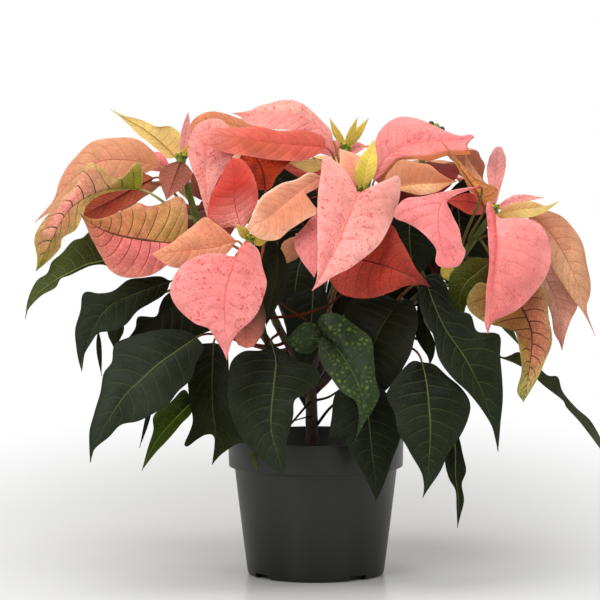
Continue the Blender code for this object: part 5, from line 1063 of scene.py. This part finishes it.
def finish_colours(look, along, across, seed):
    """Upper and lower tints over the blade, as linear light."""
    tone = {part: np.array(linear(value)) for part, value in look.items() if np.size(value) == 3}
    shape = np.broadcast(along, across).shape
    m = np.abs(across)
    waves = np.sin(along * 9.0 + seed * 1.7) * np.sin(across * 4.0 + along * 5.0 + seed * 2.3)
    waves = 0.5 + 0.5 * waves
    beyond = np.clip(0.5 + across * 6.0, 0, 1) * np.ones(shape)

    def mixed(base, other, share):
        share = (np.clip(share, 0.0, 1.0) * np.ones(shape))[..., None]
        return base * (1 - share) + other * share

    top = np.broadcast_to(tone["main"], shape + (3,)).copy()
    patch_share = 0.8
    if "half" in look:
        top = mixed(top, tone["half"], beyond)
        patch_share = 0.5
    top = mixed(top, tone["patch"], waves ** 2 * patch_share)
    foot = mixed(tone["foot"], tone["half_foot"], beyond)
    tip = mixed(tone["tip"], tone["half_tip"], beyond)
    # on the green leaves the foot tone is painted shade and the tip tone painted light
    top = mixed(top, foot, np.clip(1.25 - along * 2.3, 0, 1) ** 1.2)
    top = mixed(top, tip, np.clip((along - 0.62) / 0.34, 0, 1) ** 1.3)
    top = mixed(top, tone["margin"], m ** 5 * 0.7)
    if "rim" in look:
        top = mixed(top, tone["rim"], np.clip((across - look["rim_start"]) / 0.08, 0, 1))
    if look["bare"]:
        return top, top
    low = np.broadcast_to(tone["under"], shape + (3,)).copy()
    low = mixed(low, tone["main"], 0.25 * waves)
    low = mixed(low, tone["patch"], 0.35 * (1 - m))
    return top, low


def add_grid(bm, points, blade, tint, vein, marks, sharp_columns=()):
    """Adds a plain grid to the mesh, moves it onto the points and welds its seam."""
    rows, columns = points.shape[:2]
    blade_layer, tint_layer, vein_layer, marks_layer = (
        getattr(bm.verts.layers, kind)[label] for label, kind in BLADE_LAYERS)
    made = bmesh.ops.create_grid(bm, x_segments=columns - 1, y_segments=rows - 1, size=1.0)["verts"]
    places = points * MM
    for vert in made:
        j = int(round((vert.co.x + 1) / 2 * (columns - 1)))
        i = int(round((vert.co.y + 1) / 2 * (rows - 1)))
        vert.co = places[i, j]
        vert[blade_layer] = blade[i, j]
        vert[tint_layer] = (*tint[i, j], 1.0)
        vert[vein_layer] = (*vein[i, j], 1.0)
        vert[marks_layer] = marks[i, j]
        vert.tag = j in sharp_columns
    for vert in made:
        for edge in vert.link_edges:
            if vert.tag and edge.other_vert(vert).tag:
                edge.smooth = False
    for vert in made:
        vert.tag = False
        for face in vert.link_faces:
            face.smooth = True
    bmesh.ops.remove_doubles(bm, verts=made, dist=SEAM_WELD)


def vein_gap(along, across, side):
    """How far a place on the blade is from the nearest side vein, 0 to 0.5."""
    place = (along - (VEIN_SWEEP + VEIN_BEND * across) * across) * VEIN_PAIRS
    share = (place + VEIN_STAGGER * side) % 1.0
    return 0.5 - np.abs(share - 0.5)


def sheet_normals(points):
    return unit(np.cross(np.gradient(points, axis=1), np.gradient(points, axis=0)))


def both_faces(upper, lower):
    """Rows that run over the upper face, back under the lower one and close."""
    return np.concatenate([upper, lower[:, ::-1], upper[:, :1]], axis=1)


def with_ends(rows, first=None, last=None):
    """Rows with one more at either end: all at one point, or the end row again."""
    first, last = (row if point is None else np.broadcast_to(point, row.shape)
                   for row, point in ((rows[:1], first), (rows[-1:], last)))
    return np.concatenate([first, rows, last], axis=0)


def blade_shell(bm, line, tang, edges, look, seed, build):
    """The blade as a thin closed shell with quilted, veined faces and a wavy margin."""
    left, right = edges
    along = np.linspace(0.0, 1.0, len(line))[:, None]
    across = np.linspace(-1.0, 1.0, 2 * build["half"] + 1)[None, :]
    m = np.abs(across)
    beyond = across > 0
    off_left = left - line
    off_right = right - line
    width = np.where(across < 0, np.linalg.norm(off_left, axis=1)[:, None],
                     np.linalg.norm(off_right, axis=1)[:, None])
    off = np.where((across < 0)[..., None], off_left[:, None, :], off_right[:, None, :])
    up = unit(np.cross(right - left, tang))
    points = line[:, None, :] + off * m[..., None]
    points = points + up[:, None, :] * (build["puff"] * width * 2 * m * (1 - m))[..., None]
    local = np.minimum(1.0, width / FULL_RELIEF_WIDTH)
    gap = vein_gap(along, m, beyond * 1.0)
    swell = QUILT * local * np.sqrt(np.clip(gap / 0.5, 0, 1)) * np.clip(4 * m * (1.02 - m), 0, 1)
    swell = swell - RIB_GROOVE * np.exp(-(m / 0.05) ** 2) * local
    wave = 2 * math.pi * (along * RIPPLE_WAVES + 0.31 * seed) + 1.9 * beyond
    sway = RIPPLE * local * m ** 3 * np.sin(wave) * np.sqrt(np.clip(4 * along * (1 - along), 0, 1))
    points = points + sheet_normals(points) * (swell + sway)[..., None]
    thick = (BLADE_THICKNESS * (1 - m ** 3) + EDGE_THICKNESS * m ** 3) * 0.5
    thick = sheet_normals(points) * np.minimum(thick, 0.10 + width * 0.2)[..., None]
    ring = with_ends(both_faces(points + thick, points - thick),
                     line[0] - tang[0] * 0.3, line[-1] + tang[-1] * 0.5)
    tint = with_ends(both_faces(*finish_colours(look, along, across, seed)))
    place = np.stack(np.broadcast_arrays(along, across, 0.0), axis=2)
    place = with_ends(both_faces(place, place))
    marks = np.broadcast_to(np.array(look["marks"], float), place.shape).copy()
    count = m.size
    marks[:, count:2 * count] *= np.array(UNDER_MARKS)
    vein = np.broadcast_to(linear(look["vein"]), tint.shape).copy()
    vein[place[..., 1] > 0] = linear(look.get("half_vein", look["vein"]))
    add_grid(bm, ring, place, tint, vein, marks, (0, count - 1, count, 2 * count - 1, 2 * count))


def round_tube(bm, line, radii, colours, ring=STALK_RING):
    """A round closed tube along a line, tapering as the radii say."""
    line = np.asarray(line, float)
    tang = unit(np.gradient(line, axis=0))
    guide = unit(np.cross(tang[0], (0.31, 0.77, 0.12)))
    turn = np.linspace(0, 2 * math.pi, ring + 1)[:, None]
    turn[-1] = 0.0
    rows = []
    for point, course, radius in zip(line, tang, radii):
        guide = unit(guide - course * float(np.dot(guide, course)))
        other = np.cross(course, guide)
        rows.append(point + radius * (np.cos(turn) * guide + np.sin(turn) * other))
    rows = with_ends(np.array(rows), line[0], line[-1])
    tint = with_ends(np.broadcast_to(colours, (len(line), 3)))
    tint = np.broadcast_to(tint[:, None, :], rows.shape)
    still = np.zeros(rows.shape)
    still[..., 1] = 0.5
    add_grid(bm, rows, still, tint, tint, np.zeros(rows.shape))


def stalk_path(start, aside, base, course):
    """Points of a leaf stalk, leaving the branch sideways and running into the blade."""
    reach = float(np.linalg.norm(base - start))
    s = np.linspace(0.0, 1.0, STALK_ROWS)[:, None]
    path = (2 * s ** 3 - 3 * s ** 2 + 1) * start + (3 * s ** 2 - 2 * s ** 3) * base
    path = path + (s ** 3 - 2 * s ** 2 + s) * (0.4 * (base - start) + 0.6 * reach * aside)
    return path + (s ** 3 - s ** 2) * course * reach * 0.7


def stalk_and_rib(bm, start, aside, line, tang, edges, look, build):
    """The round stalk, going on under the blade as a tapering midrib."""
    radius, rib = build["stalk"], build["rib"]
    under = line - unit(np.cross(edges[1] - edges[0], tang)) * (rib * 0.55)
    stalk = stalk_path(start, aside, under[0], tang[0])
    reach = max(4, int(len(line) * 0.84))
    picks = np.unique(np.linspace(1, reach, 16).astype(int))
    path = np.concatenate([stalk, under[picks]], axis=0)
    radii = np.concatenate([np.linspace(radius * 1.25, rib * 1.15, STALK_ROWS),
                            np.linspace(rib, 0.16, len(picks))])
    stalk_colour = np.array(linear(look["stalk"]))
    rib_colour = np.array(linear(look.get("rib", look["vein"]))) * 1.15
    shares = np.concatenate([np.zeros(STALK_ROWS - 2), (0.3, 0.6), np.ones(len(picks))])[:, None]
    round_tube(bm, path, radii, stalk_colour * (1 - shares) + rib_colour * shares)


def placed(bm, name):
    """Ends a mesh and puts it into the scene as an object."""
    mesh = bpy.data.meshes.new(name)
    bm.to_mesh(mesh)
    bm.free()
    piece = bpy.data.objects.new(name, mesh)
    bpy.context.scene.collection.objects.link(piece)
    return piece


def finished(bm, name, material, nodes):
    """Ends a piece: its mesh, its finish, the body it rides on and what it stands for."""
    piece = placed(bm, name)
    piece.data.materials.append(material)
    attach(piece, "root")
    if nodes:
        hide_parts(*nodes)
    return piece


def dressed(name, nodes, show, edges_of, root, aside, finish, own, seed, build):
    """One finished leaf or bract: shell, stalk and midrib as a single piece."""
    line, left, right = edges_of
    tang, left, right = turned_edges(show, line, left, right)
    edges = least_width(line, left, right, tang, build["foot"])
    look = look_of(finish, own)
    look["bare"] = show == "under"
    bm = start_mesh()
    blade_shell(bm, line, tang, edges, look, seed, build)
    stalk_and_rib(bm, root, aside, line, tang, edges, look, build)
    return finished(bm, name, skin_of(finish), nodes)


# ---------------------------------------------------------- bracts and leaves
for seed, (name, spec) in enumerate(LEAVES.items()):
    show, key, place, rib, edge_a, edge_b, slot = spec
    finish, own = WEARS.get(name, (SLOT_FINISH[slot], {}))
    edges = own_edges(rib, edge_a, edge_b, FULL_SIZE["rows"])
    root, aside = beside(key, place, rib[0], -STALK_SUNK)
    dressed(name + "_blade", [name], show, edges, root, aside, finish, own, seed, FULL_SIZE)

# --------------------------------------------- sprays at the back and inside
for order, (name, (key, place, members)) in enumerate(SPRAYS.items()):
    middle = np.mean([rib[0] for _, rib, *_ in members], axis=0)
    foot = beside(key, place, middle, SPRAY_FOOT)[0]
    root = branch_point(key, place)[0]
    for number, (show, rib, a, b, outline, slot) in enumerate(members):
        edges = even_edges(rib, a, b, outline, FULL_SIZE["rows"])
        finish = SPRAY_WEAR.get(name, {}).get(number, SLOT_FINISH[slot])
        dressed("%s_%d" % (name, number + 1), [name], show, edges, root, unit(foot - root),
                finish, {}, 50 + order * 7 + number, FULL_SIZE)

# -------------------------------------------------------------- flower heads
CUP_GREEN = linear((126, 150, 40))
CUP_PALE = linear((176, 190, 70))
CUP_DARK = linear((44, 58, 18))
LIP_YELLOW = linear((226, 202, 60))
TIP_RED = linear((176, 50, 34))
# radius and height of a cup, from its foot over the lip to the inside
CUP_OUTLINE = ((0.0, 0.0), (0.55, 0.05), (0.90, 0.40), (1.00, 0.85), (0.92, 1.30), (0.72, 1.62),
               (0.80, 1.74), (0.70, 1.80), (0.52, 1.62), (0.42, 1.30), (0.0, 1.15))
CUP_THREADS = 7
HEAD_BUDS = 5


def upright_to(axis):
    return Vector((0, 0, 1)).rotation_difference(Vector(axis))


def bead(bm, centre, radii, colour, axis=(0, 0, 1), rings=8, segments=12):
    """A small rounded body, stretched along an axis."""
    layer_tint = bm.verts.layers.float_color["tint"]
    made = bmesh.ops.create_uvsphere(bm, u_segments=segments, v_segments=rings, radius=1.0)["verts"]
    turn = upright_to(axis)
    for vert in made:
        vert.co = (turn @ (vert.co * Vector(radii)) + Vector(centre)) * MM
        vert[layer_tint] = (*colour, 1.0)
        for face in vert.link_faces:
            face.smooth = True


def spun(bm, outline, steps):
    """Spins a half outline, given as radius and height, round the upright axis."""
    older = set(bm.verts)
    ring = [bm.verts.new((radius, 0.0, height)) for radius, height in outline]
    edges = [bm.edges.new(pair) for pair in zip(ring, ring[1:])]
    bmesh.ops.spin(bm, geom=ring + edges, cent=(0, 0, 0), axis=(0, 0, 1), angle=2 * math.pi,
                   steps=steps, use_merge=True, use_duplicate=False)
    return [vert for vert in bm.verts if vert not in older]


def close_up(bm, verts):
    """Welds a spun body, turns its faces outwards and smooths it."""
    bmesh.ops.remove_doubles(bm, verts=verts, dist=SPUN_WELD)
    faces = list(dict.fromkeys(f for vert in verts if vert.is_valid for f in vert.link_faces))
    bmesh.ops.recalc_face_normals(bm, faces=faces)
    for face in faces:
        face.smooth = True


def flower_cup(bm, foot, axis, size):
    """One little flower: a ribbed green cup with a yellow lip and red-tipped threads."""
    layer_tint = bm.verts.layers.float_color["tint"]
    turn = upright_to(axis)
    verts = spun(bm, CUP_OUTLINE, 20)
    for vert in verts:
        x, y, z = vert.co
        radius = math.hypot(x, y)
        ribs = 1.0 + 0.05 * math.cos(5 * math.atan2(y, x)) * min(1.0, radius)
        # inside the cup the tint is darker: painted shade in its hollow
        inside = radius < 0.66 and z > 1.1
        colour = CUP_DARK if inside else (CUP_PALE if z > 1.58 else CUP_GREEN)
        vert[layer_tint] = (*colour, 1.0)
        vert.co = (turn @ (Vector((x * ribs, y * ribs, z)) * size) + Vector(foot)) * MM
    close_up(bm, verts)
    for k in range(CUP_THREADS):
        angle = 2 * math.pi * k / CUP_THREADS + size
        out = Vector((math.cos(angle) * 0.42, math.sin(angle) * 0.42, 1.70))
        bead(bm, turn @ (out * size) + Vector(foot), (0.13 * size, 0.13 * size, 0.34 * size),
             LIP_YELLOW if k % 3 else TIP_RED, turn @ Vector((out.x * 0.4, out.y * 0.4, 1.0)), 5, 7)
    gland = turn @ (Vector((0.92, -0.35, 1.35)) * size) + Vector(foot)
    bead(bm, gland, (0.62 * size, 0.34 * size, 0.40 * size), LIP_YELLOW, turn @ Vector((0.5, -0.2, 1.0)))


for order, (name, (centre, cups, young)) in enumerate(HEADS.items()):
    middle = np.array(centre, float)
    start = middle - (0, 0, HEAD_DROP)
    bm = start_mesh()
    bead(bm, start, (4.6, 4.6, 3.4), CUP_GREEN, rings=10, segments=16)
    for number, shift in enumerate(cups):
        lean = unit(np.array(shift, float) + (0, -1.5, 3.0))
        flower_cup(bm, middle + np.array(shift, float) * 0.55, lean, 2.5 - 0.25 * (number % 3))
    for number in range(HEAD_BUDS):
        angle = number * 2.4 + order
        shift = np.array((math.cos(angle) * 4.6, math.sin(angle) * 3.4, 1.2 + (number % 2) * 1.4))
        bead(bm, middle + shift, (1.3, 1.3, 1.7), CUP_PALE if number % 2 else CUP_GREEN,
             unit(shift + (0, 0, 3.0)), 6, 10)
    finished(bm, name + "_cups", CUPS, [name])
    for number, (show, rib, a, b, outline) in enumerate(young):
        finish = YOUNG_WEAR[name][number]
        edges = even_edges(rib, a, b, outline, YOUNG_SIZE["rows"])
        slot = "bract_pink" if finish in ("rose", "light_pink", "salmon") else "flower_green"
        dressed("%s_young_%d" % (name, number + 1), [name], show, edges, start,
                unit(edges[0][0] - start), finish, {}, 90 + order * 5 + number, YOUNG_SIZE)


# ------------------------------------------------- small things in the crown
# a low lobe, bracts and leaves deep in the crown, narrow shoots: start of the
# stalk, midrib, side a, side b and finish
LOOSE_BLADES = {
    "leaf_07_lobe": ((14, -74, 232), ((10, -73, 230), (-13, -79, 231), (-29, -80, 229)),
                     (-2, 2, 15), (-6, 2, -15), "mottled"),
    "inner_leaf_high": ((146, 14, 380), ((146, 10, 378), (144, 8, 342), (139, 2, 298)),
                        (-25, 4, 0), (24, 4, 0), "shadow"),
    "inner_leaf_low": ((84, 8, 312), ((88, 6, 308), (102, 4, 284), (120, -2, 254)),
                       (-15, 4, -15), (15, 4, 15), "shadow"),
    "inner_leaf_middle": ((28, 26, 296), ((30, 22, 294), (26, 20, 268), (20, 16, 236)),
                          (-16, 3, 0), (16, 3, 0), "shadow"),
    "inner_leaf_front": ((54, 18, 294), ((58, 14, 288), (84, 12, 273), (113, 8, 254)),
                         (-9, 3, -19), (7, 3, 13), "shadow"),
    "inner_bract_coral": ((10, 10, 377), ((9, 8, 379), (-12, 4, 382), (-41, 2, 390)),
                          (2, 9, 9), (-2, -9, -9), "salmon"),
    "inner_bract_straw": ((12, -8, 386), ((10, -10, 387), (-9, -14, 388), (-28, -16, 392)),
                          (1, 9, 6), (-1, -9, -6), "yellow"),
    "inner_bract_dark": ((9, -4, 375), ((7, -6, 373), (-5, -10, 365), (-18, -14, 355)),
                         (-6, 5, 7), (6, -5, -7), "dark_coral"),
    "inner_bract_red": ((94, 22, 348), ((92, 20, 349), (84, 18, 356), (73, 16, 366)),
                        (-6, 5, -6), (6, -5, 6), "dark_coral"),
    "inner_leaf_left": ((14, 42, 341), ((12, 40, 340), (-6, 38, 336), (-24, 36, 331)),
                        (0, 3, -11), (0, 3, 11), "shadow"),
    "inner_bract_brick": ((-103, 42, 348), ((-104, 40, 350), (-109, 37, 364), (-115, 34, 386)),
                          (-10, 3, -3), (9, -3, 3), "brick"),
    "inner_bract_tan": ((-18, -56, 326), ((-18, -58, 324), (-24, -60, 310), (-34, -62, 296)),
                        (-9, 4, 4), (9, -4, -4), "tan"),
    "inner_bract_pink": ((50, 20, 404), ((48, 18, 404), (20, 14, 402), (-10, 12, 402)),
                         (0, 9, 8), (0, -9, -8), "cool_pink"),
    "lime_shoot_leaf": ((117, -46, 299), ((118, -46, 297), (124, -47, 288), (131, -48, 278)),
                        (-6, 1, -3), (6, 1, 3), "lime"),
    "olive_shoot_leaf": ((-186, -2, 248), ((-187, -4, 245), (-189, -6, 230), (-190, -6, 214)),
                         (-8, 1, 0), (8, 1, 0), "olive"),
    "narrow_leaf_left": ((-204, -6, 236), ((-205, -8, 232), (-204, -10, 211), (-202, -10, 189)),
                         (-2.6, 0, 0), (2.6, 0, 0), "olive"),
    "narrow_leaf_low": ((-152, -16, 176), ((-154, -18, 170), (-159, -20, 147), (-166, -20, 122)),
                        (-2.4, 0, 0), (2.4, 0, 0), "shadow"),
    "green_tip": ((-56, -58, 132), ((-56, -60, 127), (-55, -61, 114), (-52, -61, 101)),
                  (-5, 0, 0), (5, 0, 0), "green"),
}
# bare twigs and leaf stalks that cross each other: radius, course and colour
BARE_TWIGS = {
    "twig_1": (1.3, ((0, 0, 140), (12, -8, 157), (26, -12, 170)), (44, 26, 16)),
    "twig_2": (1.1, ((0, -2, 165), (12, -10, 169), (24, -12, 177)), (44, 26, 16)),
    "twig_3": (1.1, ((0, -2, 170), (-11, -7, 158), (-27, -6, 139)), (44, 26, 16)),
    "twig_4": (0.7, ((0, -3, 151), (-12, -9, 149), (-28, -8, 144)), (44, 26, 16)),
    "red_stalk": (1.25, ((-50, -58, 247), (-38, -64, 249), (-15, -70, 252), (12, -64, 261),
                         (30, -48, 276)), (76, 26, 13)),
    "tan_stalk": (1.1, ((-42, -58, 268), (-24, -66, 256), (-8, -68, 246)), (84, 42, 20)),
    "olive_stalk": (2.2, ((-52, -66, 252), (-46, -74, 226), (-42, -80, 200)), (40, 42, 12)),
}
LOOSE_SLOT = {
    "mottled": "leaf_mottled", "brick": "bract_coral", "salmon": "bract_coral",
    "dark_coral": "bract_coral", "yellow": "bract_yellow", "lime": "bract_yellow",
    "tan": "bract_tan", "cool_pink": "bract_pink",
}
HIDDEN_BUDS = ((98, 22, 420.5), (104, 22, 423.5), (109, 22, 424.5), (114, 22, 422.5), (119, 22, 419.5))

for order, (name, (start, rib, a, b, finish)) in enumerate(LOOSE_BLADES.items()):
    edges = even_edges(rib, a, b, OVATE, LOOSE_SIZE["rows"])
    start = np.array(start, float)
    slot = LOOSE_SLOT.get(finish, "leaf_dark")
    dressed(name, [], "top", edges, start, unit(edges[0][0] - start), finish, {}, 130 + order,
            LOOSE_SIZE)
for name, (radius, course, colour) in BARE_TWIGS.items():
    bm = start_mesh()
    round_tube(bm, smooth_curve(course, TWIG_ROWS), np.linspace(radius * 1.2, radius * 0.8, TWIG_ROWS),
               linear(colour), 10)
    finished(bm, name, LEAF_SKIN, [])
bm = start_mesh()
for number, place in enumerate(HIDDEN_BUDS):
    bead(bm, Vector(place), (3.0, 2.8, 3.4), CUP_GREEN if number % 2 else CUP_DARK)
finished(bm, "hidden_head_buds", CUPS, [])


# ------------------------------------------------------------------ the stem
def ringed(radii, count, swell):
    """Radii with low joints where leaves once grew."""
    shares = np.linspace(0, 1, len(radii))
    return np.array(radii) + swell * np.exp(-((shares * count) % 1.0 - 0.5) ** 2 / 0.012)


bm = start_mesh()
brown = linear((90, 60, 36))
round_tube(bm, smooth_curve(TRUNK, 40), ringed(np.linspace(STEM_RADIUS, STEM_TOP_RADIUS, 40), 3, 0.35),
           brown, 20)
for radius, course in BRANCH.values():
    line = smooth_curve(smooth_curve(course, BRANCH_POINTS), 60)
    radii = np.linspace(radius + BRANCH_SWELL, radius + BRANCH_SWELL - BRANCH_TAPER, 60)
    round_tube(bm, line, ringed(radii, 8, 0.4), brown, 14)
bmesh.ops.recalc_face_normals(bm, faces=bm.faces[:])
finished(bm, "stem_and_branches", BARK, ["stem"])


# ------------------------------------------------------------------ the soil
def soil_height(reach):
    """The mix is heaped a little towards the middle of the pot."""
    return SOIL_TOP + 1.0 - 2.0 * (reach / 78.0) ** 2


def turned(outline, steps):
    """A closed round body from a half outline in millimetres."""
    bm = bmesh.new()
    close_up(bm, spun(bm, [(radius * MM, height * MM) for radius, height in outline], steps))
    return bm


rim_foot = POT_HEIGHT - POT_RIM_BAND
inner_top = POT_WALL_TOP_RADIUS - POT_WALL
inner_base = POT_BASE_RADIUS - POT_WALL
soil_foot = POT_FLOOR + SOIL_CLEARANCE
soil_outline = [(0.0, soil_height(0.0))]
soil_outline += [(float(reach), soil_height(reach)) for reach in np.arange(1.5, 76.6, 1.5)]
soil_outline += [(inner_top + 2.6, SOIL_TOP - 2.0), (inner_top + 3.0, rim_foot + 3.4)]
soil_outline += [(inner_top - 1.2, rim_foot - 1.2), (inner_base - SOIL_CLEARANCE - 0.6, soil_foot + 2.4)]
soil_outline += [(inner_base - 3.6, soil_foot), (0.0, soil_foot)]
bm = turned(soil_outline, 160)
for vert in bm.verts:
    if vert.co.z > (SOIL_TOP - 3.0) * MM:
        spot = vert.co * (1.0 / MM)
        lump = sum(noise.noise(spot * fineness) * height for fineness, height in SOIL_LUMPS)
        edge = max(0.0, min(1.0, (79.0 - math.hypot(spot.x, spot.y)) / 6.0))
        vert.co.z += lump * edge * MM
crumb_rng = np.random.RandomState(11)
for number in range(CRUMBS):
    angle = crumb_rng.uniform(0, 2 * math.pi)
    reach = CRUMB_REACH * math.sqrt(crumb_rng.uniform(0.01, 1.0))
    size = crumb_rng.uniform(0.5, 1.7)
    place = Vector((reach * math.cos(angle), reach * math.sin(angle), soil_height(reach) + 0.3 * size))
    stretch = Vector(crumb_rng.uniform(0.6, 1.5, 3)) * size
    for vert in bmesh.ops.create_icosphere(bm, subdivisions=1, radius=1.0)["verts"]:
        vert.co = (vert.co * stretch + place) * MM
finished(bm, "peat_surface", PEAT, ["potting_soil"])

# ------------------------------------------------------------------- the pot
POT_OUTLINE = (
    (0.0, POT_FLOOR),
    (inner_base - 2.0, POT_FLOOR),
    (inner_base - 0.6, POT_FLOOR + 0.5),
    (inner_base, POT_FLOOR + 2.0),
    (inner_base + 0.7, 8.0),
    (inner_top, rim_foot - 1.0),
    (inner_top + 1.2, rim_foot + 0.2),
    (POT_RIM_RADIUS - 3.4, rim_foot + 1.0),
    (POT_RIM_RADIUS - 2.6, rim_foot + 1.9),
    (POT_RIM_RADIUS - 1.9, POT_HEIGHT - 1.0),
    (POT_RIM_RADIUS - 1.7, POT_HEIGHT - 0.3),
    (POT_RIM_RADIUS - 1.3, POT_HEIGHT),
    (POT_RIM_RADIUS - 0.6, POT_HEIGHT - 0.05),
    (POT_RIM_RADIUS - 0.1, POT_HEIGHT - 0.5),
    (POT_RIM_RADIUS, POT_HEIGHT - 1.2),
    (POT_RIM_RADIUS - 0.7, rim_foot + 1.2),
    (POT_RIM_RADIUS - 0.9, rim_foot + 0.4),
    (POT_RIM_RADIUS - 1.5, rim_foot),
    (POT_WALL_TOP_RADIUS + 0.6, rim_foot - 0.4),
    (POT_WALL_TOP_RADIUS, rim_foot - 1.2),
    (POT_WALL_TOP_RADIUS - 0.4, rim_foot - 3.0),
    (POT_BASE_RADIUS + 5.2, 42.0),
    (POT_BASE_RADIUS + 1.4, 12.0),
    (POT_BASE_RADIUS + 0.9, 8.0),
    (POT_BASE_RADIUS + 0.3, POT_CORNER + 1.0),
    (POT_BASE_RADIUS - 0.1, POT_CORNER * 0.6),
    (POT_BASE_RADIUS - 1.2, POT_CORNER * 0.2),
    (POT_BASE_RADIUS - POT_CORNER, 0.0),
    (0.0, 0.0),
)
pot = finished(turned(POT_OUTLINE, POT_STEPS), "pot_shell", POT_PLASTIC, ["pot"])
cutters = []
for number, angle in enumerate(DRAIN_ANGLES):
    bm = bmesh.new()
    bmesh.ops.create_cube(bm, size=1.0)
    length = POT_BASE_RADIUS + 6.0 - DRAIN_INNER_RADIUS
    turn = math.radians(angle)
    for vert in bm.verts:
        x = vert.co.x * DRAIN_WIDTH
        y = -(DRAIN_INNER_RADIUS + length * (0.5 - vert.co.y))
        z = (vert.co.z + 0.5) * (DRAIN_HEIGHT + 2.0) - 2.0
        vert.co = Vector((x * math.cos(turn) - y * math.sin(turn),
                          x * math.sin(turn) + y * math.cos(turn), z)) * MM
    cutters.append(placed(bm, "drain_cut_%d" % number))
    cut = pot.modifiers.new("drain", "BOOLEAN")
    cut.operation = "DIFFERENCE"
    cut.solver = "EXACT"
    cut.object = cutters[-1]
bpy.context.view_layer.update()
shown = pot.evaluated_get(bpy.context.evaluated_depsgraph_get())
cut_mesh = bpy.data.meshes.new_from_object(shown)
pot.modifiers.clear()
pot.data = cut_mesh
for cutter in cutters:
    bpy.data.objects.remove(cutter, do_unlink=True)


# ------------------------------------------------- floor, light and camera
def floor_material():
    """Pale and smooth near the pot, fading into the white surround further off."""
    material, nodes, shader, place = new_material("pale_floor", 0.24)
    shader["Base Color"].default_value = (*linear((232, 231, 228)), 1.0)
    centred = nodes.node("Mapping", {"Vector": place, "Location": (0.0, -0.10, 0.0),
                                     "Scale": (1.0, 0.45, 1.0)}).outputs[0]
    far = nodes.node("VectorMath", {0: centred}, operation="LENGTH").outputs["Value"]
    path = nodes.node("LightPath").outputs
    seen = nodes.calc("MAXIMUM", path["Is Camera Ray"], path["Is Glossy Ray"])
    seen = nodes.calc("MAXIMUM", seen, path["Is Transmission Ray"])
    fade = nodes.calc("MULTIPLY", nodes.ramp(far, 0.08, 0.58), seen)
    white = nodes.node("Emission", {"Color": (1.0, 1.0, 1.0, 1.0), "Strength": 1.0}).outputs[0]
    tree = material.node_tree
    lit = tree.nodes["Principled BSDF"].outputs["BSDF"]
    joined = nodes.node("MixShader", {"Fac": fade, 1: lit, 2: white}).outputs["Shader"]
    nodes.link(joined, tree.nodes["Material Output"].inputs["Surface"])
    return material


bm = bmesh.new()
bmesh.ops.create_grid(bm, x_segments=8, y_segments=8, size=6.0)
floor = placed(bm, "studio_floor")
floor.data.materials.append(floor_material())

world = bpy.data.worlds.new("studio")
bpy.context.scene.world = world
world.use_nodes = True
nodes = Wiring(world.node_tree)
background = world.node_tree.nodes["Background"].inputs
background["Color"].default_value = (1.0, 1.0, 1.0, 1.0)
path = nodes.node("LightPath").outputs
seen = nodes.calc("MAXIMUM", path["Is Camera Ray"], path["Is Transmission Ray"])
nodes.link(nodes.calc("MULTIPLY_ADD", seen, 1.0 - WORLD_LIGHT, WORLD_LIGHT), background["Strength"])


def soft_lamp(name, place, size, power):
    """A square soft box that looks at the middle of the plant."""
    data = bpy.data.lights.new(name, "AREA")
    data.shape = "SQUARE"
    data.size = size
    data.energy = power
    lamp = bpy.data.objects.new(name, data)
    lamp.location = place
    lamp.rotation_euler = (Vector(PLANT_MIDDLE) - Vector(place)).to_track_quat("-Z", "Y").to_euler()
    bpy.context.scene.collection.objects.link(lamp)


soft_lamp("overhead_box", (-0.25, -0.35, 2.1), 1.4, 27.0)
soft_lamp("front_left_box", (-1.5, -2.3, 1.5), 1.2, 24.0)
soft_lamp("front_right_fill", (1.9, -2.0, 1.1), 1.2, 9.0)

lens = bpy.data.cameras.new("portrait")
lens.sensor_width = 36.0
lens.lens = 255.36
lens.clip_start = 0.05
lens.clip_end = 50.0
camera = bpy.data.objects.new("portrait", lens)
camera.location = CAMERA_PLACE
camera.rotation_euler = (math.radians(90.0 - CAMERA_DIP), 0.0, 0.0)
bpy.context.scene.collection.objects.link(camera)
bpy.context.scene.camera = camera
bpy.context.scene.view_settings.view_transform = "Standard"
